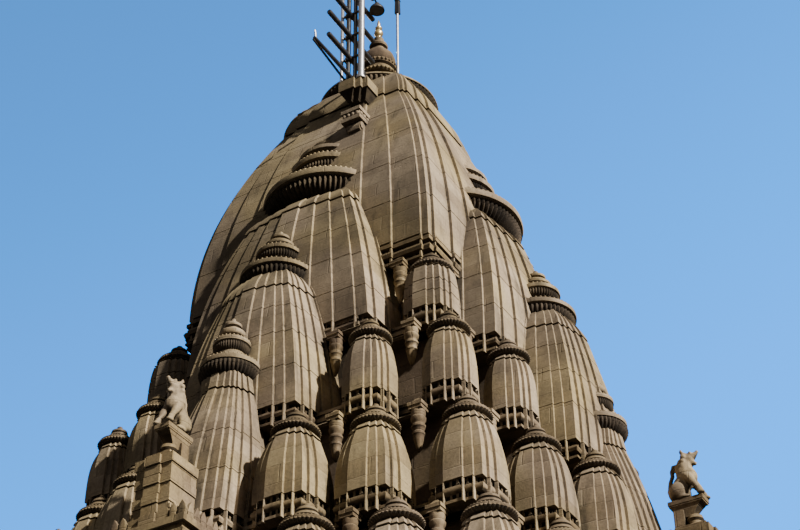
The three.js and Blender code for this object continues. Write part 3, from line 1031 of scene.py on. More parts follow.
@dataclass
class Crown:
    """Ribbed disc, beaded plate, a smaller pair above it, and a knob.

    radius is the plate's usual one, and with one pair the smaller disc and plate are left out.
    plate, upper and top are the widths of the plate, the smaller pair and the knob, as shares of
    their usual ones.
    """

    radius: float
    height: float
    ribs: int
    pairs: int = 2
    plate: float = 1.0
    rib_depth: float = 0.07
    upper: float = 1.0
    top: float = 1.0

    def _scaled(self, profile: Plan, share: float = 1.0) -> Outline:
        """A profile given in shares of the crown's radius and height, drawn in to a share."""
        return [(share * r * self.radius, z * self.height) for r, z in profile]

    def discs(self, shop: Workshop) -> Shell:
        """The ribbed discs, the crown's foot at height 0.

        Args:
            shop: the workshop.

        Returns:
            The discs.
        """
        h = self.height
        whole = shop.ribbed(self._scaled([
            (0.0, 0.0), (0.6, 0.0), (0.73, 0.008), (0.84, 0.034), (0.92, 0.074), (0.965, 0.115),
            (0.955, 0.148), (0.89, 0.174), (0.0, 0.175),
        ]), self.ribs, self.rib_depth, 0.004 * h, 0.17 * h)
        if self.pairs > 1:
            profile = [(0.0, 0.42), (0.42, 0.42), (0.5, 0.433), (0.57, 0.465), (0.6, 0.5), (0.58, 0.53),
                       (0.5, 0.54), (0.0, 0.54)]
            whole.join(shop.ribbed(self._scaled(profile, self.upper), self.ribs, 0.07, 0.43 * h, 0.535 * h))
        return whole

    def plates(self, shop: Workshop) -> Shell:
        """The beaded plates, the necks between them and the knob.

        Args:
            shop: the workshop.

        Returns:
            The plates and the knob, standing as the discs do.
        """
        r, h = self.radius, self.height
        wide = self.plate
        whole = Shell().lathe(self._scaled([
            (0.0, 0.168), (0.92 * wide, 0.17), (0.99 * wide, 0.178), (wide, 0.2), (0.99 * wide, 0.235),
            (0.93 * wide, 0.245), (0.72 * wide, 0.268), (0.52, 0.3), (0.44, 0.35), (0.44, 0.44), (0.0, 0.44),
        ]), 56)
        whole.join(shop.beads(self.ribs, 0.93 * wide * r, 0.034 * r, 0.252 * h))
        if self.pairs > 1:
            count = int(0.7 * self.upper * self.ribs)
            whole.join(shop.beads(count, 0.57 * self.upper * r, 0.026 * r, 0.615 * h))
            second = [(0.0, 0.53), (0.57, 0.535), (0.615, 0.548), (0.62, 0.57), (0.61, 0.6), (0.57, 0.61),
                      (0.42, 0.635)]
            third = [(0.38, 0.65), (0.38, 0.685), (0.47, 0.695), (0.51, 0.715), (0.51, 0.75), (0.46, 0.77),
                     (0.26, 0.8), (0.24, 0.83), (0.33, 0.85), (0.34, 0.88), (0.24, 0.91), (0.1, 0.94),
                     (0.08, 0.98), (0.0, 1.0)]
            return whole.lathe(self._scaled(second, self.upper)
                               + self._scaled(third, self.upper * self.top), 32)
        return whole.lathe(self._scaled([
            (0.0, 0.4), (0.44, 0.42), (0.5, 0.47), (0.45, 0.56), (0.34, 0.61), (0.4, 0.66), (0.37, 0.74),
            (0.22, 0.82), (0.12, 0.86), (0.13, 0.93), (0.0, 1.0),
        ]), 24)


@dataclass
class BandedSpire:
    """A spire of the tower's own curve with bands, a neck groove and base mouldings.

    half, neck and shoulder are half widths; foot, neck_at and shoulder_at are heights. power and
    swell bend the body and the shoulder. spread widens the foot along x and lean shifts the neck
    along y. Each roll is a row of (height, out) corners from the foot, and each hollow has its
    lower edge and its height. inset is the depth of the hollows and post half a post's width.
    belts are shares of the height at which the body has a fine groove.
    """

    half: float
    neck: float
    foot: float
    neck_at: float
    shoulder: float
    shoulder_at: float
    bands: tuple[float, ...]
    step: float
    spread: float = 0.0
    lean: float = 0.0
    power: float = 2.0
    levels: int = 18
    groove: float = 0.05
    rolls: tuple[tuple[tuple[float, float], ...], ...] = (
        ((-0.36, -0.02), (-0.345, 0.01), (-0.31, 0.01)),
        ((-0.21, -0.005), (-0.165, 0.012), (-0.12, -0.005)),
    )
    hollows: tuple[tuple[float, float], ...] = ((-0.31, 0.1), (-0.12, 0.12))
    inset: float = 0.09
    post: float = 0.012
    belts: tuple[float, ...] = ()
    belt_depth: float = 0.009
    belt_half: float = 0.009
    neck_inset: float = 0.05
    swell: float = 1.5

    @property
    def bottom(self) -> float:
        """How far from the foot the lowest roll starts, downwards being negative."""
        return self.rolls[0][0][0]

    def ring(self, t: float, out: float = 0.0) -> Outline:
        """The outline at a share of the way from foot to neck, pushed out by a distance.

        Args:
            t: share of the way up.
            out: the distance.

        Returns:
            The corners, anticlockwise.
        """
        deep = self.half - (self.half - self.neck) * max(t, 0.0) ** self.power + out
        wide = deep + self.spread * (1 - t)
        return [(x, y + self.lean * t) for x, y in banded_outline(wide, deep, self.bands, self.step)]

    def shell(self) -> Shell:
        """The spire's body, about its own axis.

        Returns:
            The body up to the shoulder.
        """
        rise = self.neck_at - self.foot
        half_belt = self.belt_half / rise
        stations = [(i / self.levels, 0.0) for i in range(self.levels + 1)
                    if all(abs(i / self.levels - belt) > 2 * half_belt for belt in self.belts)]
        for belt in self.belts:
            stations += [(belt - half_belt, 0.0), (belt - 0.8 * half_belt, -self.belt_depth),
                         (belt + 0.8 * half_belt, -self.belt_depth), (belt + half_belt, 0.0)]
        rings = [(self.ring(t, out), self.foot + t * rise) for t, out in sorted(stations)]
        high = self.neck_at + self.groove
        rings += [(self.ring(1.0, -self.neck_inset), z) for z in (self.neck_at, high)]
        for i in range(7):
            s = i / 6
            width = self.neck - (self.neck - self.shoulder) * s ** self.swell
            outline = banded_outline(width, width, self.bands, self.step * (1 - 0.4 * s))
            rings.append(([(x, y + self.lean) for x, y in outline], high + s * (self.shoulder_at - high)))
        return Shell().loft(rings)

    def mouldings(self) -> Shell:
        """The rolls round its foot.

        Returns:
            The rolls.
        """
        whole = Shell()
        for roll in self.rolls:
            whole.loft([(self.ring(0.0, out), self.foot + z) for z, out in roll])
        return whole

    def dark(self) -> Shell:
        """Near-black stone at the back of the hollows in the foot, as painted shade.

        Returns:
            A block for each row of hollows.
        """
        whole = Shell()
        for low, rise in self.hollows:
            whole.loft([(self.ring(0.0, -self.inset), self.foot + z) for z in (low, low + rise)])
        return whole

    def teeth(self, shop: Workshop, spacing: float) -> Shell:
        """Small blocks in the hollows of the foot.

        Args:
            shop: the workshop.
            spacing: distance between their middles.

        Returns:
            The blocks.
        """
        whole = Shell()
        outline = self.ring(0.0, -self.inset)
        for low, rise in self.hollows:
            block = Shell().box((-0.17 * spacing, -0.045, 0.0), (0.17 * spacing, 0.02, rise))
            places = [(x, y, self.foot + low, turn) for x, y, turn in along_outline(outline, spacing, 0.04)]
            whole.take(shop.stand(block, places, Finish.CROWN, 0.05))
        return whole

    def posts(self, shop: Workshop) -> Shell:
        """A thin post under each band edge.

        Args:
            shop: the workshop.

        Returns:
            The posts.
        """
        post = Shell().box((-self.post, -0.012, -0.01), (self.post, 0.05, -self.bottom - 0.02), 0.004)
        edges = band_edges(self.half + self.spread, self.half, self.bands, self.step)
        places = [(x, y, self.foot + self.bottom, turn) for x, y, turn in edges]
        return Shell().take(shop.stand(post, places, Finish.BASALT))


@dataclass
class EngagedSpire:
    """One size of the spires that lean on the tower, one on each face.

    out is the distance of its axis from the tower's, disc the radius of its ribbed disc and tip
    the height of its top. A shifted one stands nearer the axis on the side faces.
    """

    name: str
    out: float
    body: BandedSpire
    disc: float
    tip: float
    ribs: int
    plate: float = 1.0
    upper: float = 1.0
    top: float = 1.0
    shifted: bool = False

    def build(self, shop: Workshop) -> None:
        """Makes the spire once and stands it on all four faces.

        Args:
            shop: the workshop.
        """
        whole = self.body.shell()
        whole.join(self.body.posts(shop))
        foot = self.body.shoulder_at - 0.02
        crown = Crown(self.disc, self.tip - foot, self.ribs, plate=self.plate, upper=self.upper, top=self.top)
        whole.join(crown.plates(shop).moved(0.0, self.body.lean, foot))
        discs = crown.discs(shop).moved(0.0, self.body.lean, foot)
        rolls = self.body.mouldings().join(self.body.teeth(shop, 0.11))
        # The ribbed discs and the backs of the hollows are near-black stone as painted shade.
        parts = (("carved", whole, Finish.BASALT), ("discs", discs, Finish.HOLLOW),
                 ("rolls", rolls, Finish.SOOTY), ("hollows", self.body.dark(), Finish.HOLLOW))
        for face in Face:
            back = (face.shift if self.shifted else 0.0) - self.out
            node = f"{self.name}_spire_{face.label}"
            for part, body, finish in parts:
                shop.show(f"{node}_{part}", body.moved(0.0, back, 0.0).turned(face.turn), finish, node)


@dataclass
class Tier:
    """One tier: its moulded ledge, the small spires on it and the pendants below it.

    foot is a height above the ground; neck_at, disc_at and tip are heights above the foot. corner,
    neck and disc are half widths. places are where the spires stand and below where pendants hang.
    """

    number: int
    foot: float
    plan: Plan
    places: Plan
    disc: float
    corner: float = 0.405
    neck: float = 0.27
    neck_at: float = 1.02
    disc_at: float = 1.16
    tip: float = 1.63
    power: float = 2.8
    belts: tuple[float, ...] = ()
    pendant: float = 0.8
    below: Plan = ()

    def spots(self, places: Plan) -> list[tuple[float, float]]:
        """All eight mirror places of each given place.

        Args:
            places: x and y of each.

        Returns:
            The places, sorted, each of them once.
        """
        found: list[tuple[float, float]] = []
        for x, y in places:
            for px, py in {(x, y), (y, x)}:
                found += [(sx * px, sy * py) for sx in (1, -1) for sy in (1, -1)]
        return sorted(set(found))

    def spirelet(self, shop: Workshop) -> tuple[Shell, Shell, Shell, Shell]:
        """One small spire about its own axis, its foot at height 0.

        Args:
            shop: the workshop.

        Returns:
            The carved body, the crown, the rolls of the foot and the hollows between them.
        """
        body = BandedSpire(
            half=self.corner, neck=self.neck, foot=0.0, neck_at=self.neck_at, shoulder=0.8 * self.neck,
            shoulder_at=self.disc_at + 0.01, bands=(0.7, 0.36), step=0.0425, power=self.power, levels=12,
            groove=0.035, post=0.009, rolls=(
                ((-0.36, -0.04), (-0.35, -0.01), (-0.31, -0.01)),
                ((-0.225, -0.03), (-0.2, 0.0), (-0.16, 0.012), (-0.12, 0.0), (-0.105, -0.03)),
            ), hollows=((-0.31, 0.09), (-0.105, 0.105)), inset=0.08, belts=self.belts,
            belt_depth=0.02,
        )
        crown = Crown(self.disc, self.tip - self.disc_at, 40, pairs=1, plate=0.9, rib_depth=0.05)
        top = crown.discs(shop).join(crown.plates(shop)).moved(0.0, 0.0, self.disc_at)
        carved = body.shell().join(body.posts(shop))
        return carved, top.join(body.teeth(shop, 0.1)), body.mouldings(), body.dark()

    def hanging(self) -> Shell:
        """A turned pendant under the ledge, its cap at height 0.

        Returns:
            The pendant.
        """
        long = self.pendant
        whole = Shell().box((-0.12, -0.12, -0.045), (0.12, 0.12, 0.01))
        whole.box((-0.105, -0.105, -0.1), (0.105, 0.105, -0.04))
        whole.box((-0.1, -0.1, 0.005), (0.1, 0.1, 0.1), 0.07)
        profile = [(0.0, -1.0), (0.02, -0.98), (0.045, -0.88), (0.062, -0.8), (0.075, -0.72), (0.08, -0.66),
                   (0.092, -0.64), (0.092, -0.6), (0.08, -0.58), (0.088, -0.52), (0.105, -0.49),
                   (0.105, -0.45), (0.085, -0.42), (0.092, -0.38), (0.112, -0.34), (0.115, -0.29),
                   (0.095, -0.25), (0.1, -0.2), (0.11, -0.15), (0.1, -0.09), (0.0, -0.09)]
        return whole.lathe([(r, z * long if z < -0.2 else z) for r, z in profile], 16)

    def ledge(self) -> Shell:
        """The moulded slab that runs behind the small spires' feet.

        Returns:
            The slab.
        """
        steps = ((-LEDGE, 0.12), (-0.33, 0.15), (-0.3, 0.12), (-0.3, -0.05), (-0.2, -0.05), (-0.2, 0.04),
                 (-0.14, 0.04), (-0.14, -0.03), (-0.05, -0.03), (-0.05, 0.0), (0.0, 0.0))
        return Shell().loft([(stepped_outline(self.plan, out - LEDGE_INSET), self.foot + z)
                             for z, out in steps])

    def build(self, shop: Workshop) -> None:
        """Makes the tier's pieces.

        Args:
            shop: the workshop.
        """
        node = f"tier_{self.number}_spires"
        spots = [(x, y, self.foot, 0.0) for x, y in self.spots(self.places)]
        carved, top, rolls, dark = self.spirelet(shop)
        # The backs of the hollows are near-black stone as painted shade.
        for part, template, finish in (("small_spires", carved, Finish.BASALT), ("crowns", top, Finish.CROWN),
                                       ("rolls", rolls, Finish.SOOTY), ("hollows", dark, Finish.HOLLOW)):
            shop.show(f"tier_{self.number}_{part}", shop.stand(template, spots, finish), finish, node)
        shop.show(f"tier_{self.number}_ledge", self.ledge(), Finish.BASALT, node)
        if self.below:
            hung = [(x, y, self.foot - LEDGE, 0.0) for x, y in self.spots(self.below)]
            shop.show(f"tier_{self.number}_pendants", shop.stand(self.hanging(), hung, Finish.SOOTY, 0.04),
                      Finish.SOOTY)


@dataclass
class Pedestal:
    """The stepped pedestal of one lion, with its row of upright leaves.

    near and far are distances from the tower's axis, half is half a width, and the values called
    base are those of the moulded base. slab_top and slab_far belong to the lion's slab.
    """

    base_half: float = 0.64
    base_near: float = 4.90
    base_far: float = 5.95
    base_top: float = 12.98
    half: float = 0.30
    near: float = 5.30
    far: float = 5.87
    top: float = 14.05
    foot: float = 11.45
    slab_top: float = 14.65
    slab_far: float = 5.79

    def leaf(self) -> Shell:
        """One upright leaf, facing -Y, its foot at height 0.

        Returns:
            The leaf.
        """
        outline = [(-0.055, 0.0), (0.055, 0.0), (0.07, 0.09), (0.045, 0.17), (0.0, 0.24), (-0.045, 0.17),
                   (-0.07, 0.09)]
        front = [(x, -0.03, z) for x, z in outline]
        back = [(x, 0.02, z) for x, z in outline]
        rib = (0.0, -0.055, 0.1)
        count = len(outline)
        faces = [(i, (i + 1) % count, 2 * count) for i in range(count)]
        faces += [(i, i + count, (i + 1) % count + count, (i + 1) % count) for i in range(count)]
        faces.append(tuple(reversed(range(count, 2 * count))))
        return Shell().add(front + back + [rib], faces)

    def leaves(self) -> list[Station]:
        """Places of the leaves along the front and both sides of the base.

        Returns:
            x, y, z and turn of each leaf.
        """
        edge, pitch = 0.07, 0.14
        places = [(pitch * k, -self.base_far + edge, self.base_top, 0.0) for k in range(-4, 5) if abs(k) > 2]
        for side, turn in ((1, math.pi / 2), (-1, -math.pi / 2)):
            places += [(side * (self.base_half - edge), -self.base_far + 0.2 + pitch * k, self.base_top, turn)
                       for k in range(6)]
        return places

    def shell(self, shop: Workshop) -> Shell:
        """The pedestal of the -Y face.

        Args:
            shop: the workshop.

        Returns:
            The pedestal with its leaves.
        """
        whole = Shell()

        def block(half: float, near: float, far: float, z0: float, z1: float) -> None:
            """One course of the pedestal."""
            whole.box((-half, -far, z0), (half, -near, z1))

        # The moulded base, then the coursed shaft with a raised middle and upright leaves.
        low, high = self.foot, self.base_top
        for inset, z0, z1 in ((0.0, low - 0.2, low + 0.35), (0.06, low + 0.34, high - 0.3),
                              (0.02, high - 0.31, high - 0.2), (0.07, high - 0.21, high - 0.09),
                              (0.0, high - 0.1, high)):
            block(self.base_half - inset, self.base_near, self.base_far - inset, z0, z1)
        course = (self.top - self.base_top) / 7
        for k in range(7):
            foot = self.base_top + k * course
            out = (0.03, 0.0, 0.012, -0.01, 0.006, -0.006, 0.02)[k]
            near = self.near + 0.1 if k < 3 else self.near
            block(self.half + out, near, self.far + out, foot + 0.012, foot + course)
            block(self.half + out - 0.02, near, self.far + out - 0.02, foot - 0.01, foot + 0.02)
            block(0.13, near, self.far + 0.035 + out, foot + 0.016, foot + course - 0.004)
        for k in range(12):
            reach = self.near + 0.14 + 0.038 * k
            for side in (-1, 1):
                middle = side * (self.half + 0.01)
                whole.box((middle - 0.02, -reach - 0.012, self.base_top + 1.35 * course),
                          (middle + 0.02, -reach + 0.012, self.base_top + 1.75 * course))
        # Two plates, then the stem, the slab and its flared support with a turned knob before it.
        for half, rise in ((0.24, 0.0), (0.2, 0.05)):
            block(half, self.near + 0.02, self.far - 0.06, self.top - 0.01 + rise, self.top + 0.052 + rise)
        whole.box((-0.12, -5.46, self.top - 0.01), (0.12, -5.30, 14.47))
        whole.box((-0.125, -self.slab_far, 14.585), (0.125, -5.23, self.slab_top))
        whole.box((-0.118, -self.slab_far + 0.012, 14.56), (0.118, -5.24, 14.59))
        whole.loft([([(half, -far), (half, -near), (-half, -near), (-half, -far)], z)
                    for half, near, far, z in ((0.07, 5.33, 5.6, 14.36), (0.078, 5.32, 5.62, 14.42),
                                               (0.095, 5.28, 5.69, 14.5), (0.112, 5.25, 5.76, 14.57))])
        whole.lathe([(0.0, 14.1), (0.13, 14.12), (0.15, 14.16), (0.13, 14.2), (0.1, 14.22), (0.1, 14.26),
                     (0.13, 14.3), (0.11, 14.36), (0.0, 14.37)], 20, (0.0, -self.slab_far + 0.2))
        whole.take(shop.stand(self.leaf(), self.leaves(), Finish.BASALT, 0.05))
        return whole

    def build(self, shop: Workshop) -> None:
        """Makes the four pedestals.

        Args:
            shop: the workshop.
        """
        shape = self.shell(shop)
        whole = Shell()
        for face in Face:
            whole.join(shape.moved(0.0, face.shift / 2, 0.0).turned(face.turn))
        shop.show("lion_pedestals", whole, Finish.SOOTY, "tier_4_spires")


@dataclass
class Lion:
    """A seated guardian lion with raised forequarters, facing outwards.

    front is the distance of the slab's edge from the tower's axis, voxel the grain of its skin.
    """

    foot: float = 14.65 + GAP
    front: float = 5.79
    voxel: float = 0.016

    def limbs(self) -> Shell:
        """The lion's masses; y runs back from the slab's edge, z up from the slab.

        Returns:
            The masses, still apart.
        """
        whole = Shell()
        # Haunches, belly, chest, neck and head, then the muzzle, the nose and the jaw.
        whole.ball((0, 0.4, 0.17), (0.13, 0.17, 0.165))
        whole.ball((0, 0.32, 0.3), (0.125, 0.19, 0.15), -0.7)
        whole.ball((0, 0.24, 0.4), (0.14, 0.155, 0.165))
        whole.tube([(0, 0.27, 0.44), (0, 0.28, 0.57), (0, 0.25, 0.68)], [0.145, 0.135, 0.11])
        whole.ball((0, 0.21, 0.7), (0.1, 0.115, 0.1))
        whole.tube([(0, 0.18, 0.72), (0, 0.11, 0.735), (0, 0.055, 0.775)], [0.08, 0.058, 0.03])
        whole.ball((0, 0.045, 0.79), (0.036, 0.026, 0.026))
        whole.tube([(0, 0.19, 0.655), (0, 0.12, 0.61), (0, 0.07, 0.585)], [0.065, 0.042, 0.024])
        # On either side an eye, an ear, a foreleg with its paw, a thigh, a hind foot and curls.
        for side in (-1, 1):
            whole.ball((side * 0.062, 0.14, 0.768), (0.028, 0.028, 0.026))
            whole.tube([(side * 0.065, 0.25, 0.77), (side * 0.085, 0.275, 0.81), (side * 0.088, 0.27, 0.85)],
                       [0.042, 0.032, 0.011])
            whole.tube([(side * 0.09, 0.21, 0.37), (side * 0.11, 0.12, 0.22), (side * 0.11, 0.05, 0.1),
                        (side * 0.11, 0.04, 0.03)], [0.075, 0.058, 0.046, 0.048])
            whole.ball((side * 0.11, 0.02, 0.034), (0.048, 0.064, 0.036))
            whole.ball((side * 0.1, 0.38, 0.17), (0.065, 0.14, 0.14))
            whole.ball((side * 0.1, 0.3, 0.036), (0.046, 0.11, 0.038))
            for curl in range(4):
                whole.ball((side * (0.115 - 0.006 * curl), 0.24 + 0.016 * curl, 0.7 - 0.07 * curl),
                           (0.04, 0.046, 0.044))
        # The tail stands up behind the back.
        whole.tube([(0, 0.5, 0.1), (0, 0.55, 0.22), (0, 0.52, 0.38), (0, 0.475, 0.48), (0, 0.48, 0.57),
                    (0, 0.455, 0.64), (0, 0.4, 0.64), (0, 0.39, 0.58), (0, 0.42, 0.54)],
                   [0.038, 0.036, 0.034, 0.034, 0.034, 0.036, 0.036, 0.038, 0.034])
        return whole

    def build(self, shop: Workshop) -> None:
        """Grows the masses together as one carved stone and sets four of them.

        Args:
            shop: the workshop.
        """
        rough = put("rough", self.limbs().mesh("rough"))
        skin = rough.modifiers.new("skin", "REMESH")
        skin.mode = "VOXEL"
        skin.voxel_size = self.voxel
        soft = rough.modifiers.new("soft", "SMOOTH")
        soft.iterations = 3
        soft.factor = 0.5
        beast = Shell().take(baked(rough))
        beast.points = [(x, y, max(z, 0.0)) for x, y, z in beast.points]
        for face in Face:
            seated = beast.moved(0.0, face.shift / 2 - self.front, self.foot).turned(face.turn)
            shop.show(f"guardian_lion_{face.label}", seated, Finish.BASALT, f"lion_{face.label}")


@dataclass
class MainSpire:
    """The tall central spire with its crown."""

    body: BandedSpire = field(default_factory=lambda: BandedSpire(
        half=2.4, neck=1.332, foot=19.4, neck_at=23.97, shoulder=1.09, shoulder_at=24.78, swell=1.9,
        bands=(0.95, 0.73, 0.485), step=0.055, levels=28, groove=0.06,
        rolls=(((-0.53, 0.0), (-0.51, 0.03), (-0.47, 0.03)), ((-0.36, 0.04), (-0.3, 0.06), (-0.25, 0.04)),
               ((-0.14, 0.03), (-0.07, 0.03))),
        hollows=((-0.47, 0.11), (-0.25, 0.11), (-0.07, 0.07)), inset=0.1, post=0.016,
        belts=(0.2, 0.42, 0.62, 0.8),
    ))
    # Two blocks that lie on its shoulder, and where its foot's pendants hang.
    blocks: tuple[tuple[Spot, Spot], ...] = (((-1.09, -1.33, 24.33), (-0.56, -1.0, 24.45)),
                                             ((-1.05, -1.30, 24.44), (-0.60, -1.0, 24.56)))
    pendants: Plan = ((1.92, 2.5),)

    def crown(self, shop: Workshop) -> Shell:
        """The great ribbed disc.

        Args:
            shop: the workshop.

        Returns:
            The disc.
        """
        return shop.ribbed([
            (0.0, 24.7003), (1.0, 24.7003), (1.04, 24.79), (1.12, 24.86), (1.18, 24.92), (1.21, 24.99),
            (1.19, 25.04), (1.15, 25.065), (0.0, 25.065),
        ], 76, 0.05, 24.8, 25.05)

    def plates(self, shop: Workshop) -> Shell:
        """The pale plates over the great disc.

        Args:
            shop: the workshop.

        Returns:
            The plates with their beads.
        """
        whole = Shell().lathe([
            (0.0, 25.05), (1.15, 25.055), (1.19, 25.07), (1.19, 25.105), (1.16, 25.12), (0.9, 25.12),
            (0.78, 25.14), (0.72, 25.16), (0.72, 25.28), (0.68, 25.34), (0.64, 25.4), (0.6, 25.42),
            (0.0, 25.42),
        ], 64)
        return whole.join(shop.beads(52, 0.82, 0.028, 25.15))

    def pot(self, shop: Workshop) -> Shell:
        """The turned pot of the crown, with three beaded rings.

        Args:
            shop: the workshop.

        Returns:
            The pot.
        """
        whole = Shell().lathe([
            (0.0, 25.4203), (0.44, 25.4203), (0.46, 25.46), (0.4, 25.52), (0.3, 25.58), (0.26, 25.66),
            (0.27, 25.74), (0.32, 25.78), (0.34, 25.84), (0.33, 25.9), (0.28, 25.95), (0.26, 25.98),
            (0.36, 26.01), (0.385, 26.05), (0.37, 26.1), (0.32, 26.14), (0.32, 26.2), (0.37, 26.24),
            (0.385, 26.29), (0.36, 26.34), (0.32, 26.37), (0.345, 26.43), (0.345, 26.53), (0.31, 26.64),
            (0.24, 26.73), (0.15, 26.79), (0.13, 26.83), (0.13, 26.88), (0.18, 26.91), (0.195, 26.95),
            (0.18, 26.99), (0.12, 27.02), (0.09, 27.07), (0.1, 27.11), (0.11, 27.15), (0.09, 27.19),
            (0.06, 27.2), (0.0, 27.2),
        ], 40)
        for count, ring, bead, height in ((30, 0.38, 0.032, 26.05), (30, 0.38, 0.032, 26.29),
                                          (26, 0.335, 0.022, 25.84)):
            whole.join(shop.beads(count, ring, bead, height))
        return whole

    def finial(self) -> Shell:
        """The gilt point.

        Returns:
            The point.
        """
        return Shell().lathe([
            (0.0, 27.2003), (0.055, 27.2003), (0.06, 27.23), (0.045, 27.25), (0.07, 27.28), (0.095, 27.33),
            (0.09, 27.38), (0.06, 27.42), (0.045, 27.44), (0.07, 27.47), (0.075, 27.5), (0.05, 27.54),
            (0.03, 27.57), (0.035, 27.61), (0.028, 27.67), (0.012, 27.72), (0.0, 27.75),
        ], 24)

    def build(self, shop: Workshop) -> None:
        """Makes the spire, its disc, its pot and its finial.

        Args:
            shop: the workshop.
        """
        whole = self.body.shell().join(self.body.posts(shop))
        for low, high in self.blocks:
            whole.box(low, high)
        shop.show("main_spire_carved", whole, Finish.BASALT, "main_spire", "shaft_base")
        shop.show("main_spire_rolls", self.body.mouldings(), Finish.SOOTY, "shaft_base")
        shop.show("main_spire_teeth", self.body.teeth(shop, 0.13), Finish.CROWN, "shaft_base")
        # The backs of the hollows are near-black stone as painted shade.
        shop.show("main_spire_hollows", self.body.dark(), Finish.HOLLOW, "shaft_base")
        spots = [(x, y, self.body.foot + self.body.bottom, 0.0) for x, y in TIERS[0].spots(self.pendants)]
        hung = shop.stand(TIERS[0].hanging(), spots, Finish.SOOTY, 0.04)
        shop.show("shaft_pendants", hung, Finish.SOOTY)
        # The great disc is near-black stone as painted shade.
        shop.show("main_disc", self.crown(shop), Finish.HOLLOW, "main_amalaka")
        shop.show("main_plates", self.plates(shop), Finish.BASALT, "main_amalaka")
        shop.show("crown_pot", self.pot(shop), Finish.SOOTY, "kalasha")
        shop.show("gilt_point", self.finial(), Finish.GILT, "gilt_finial")


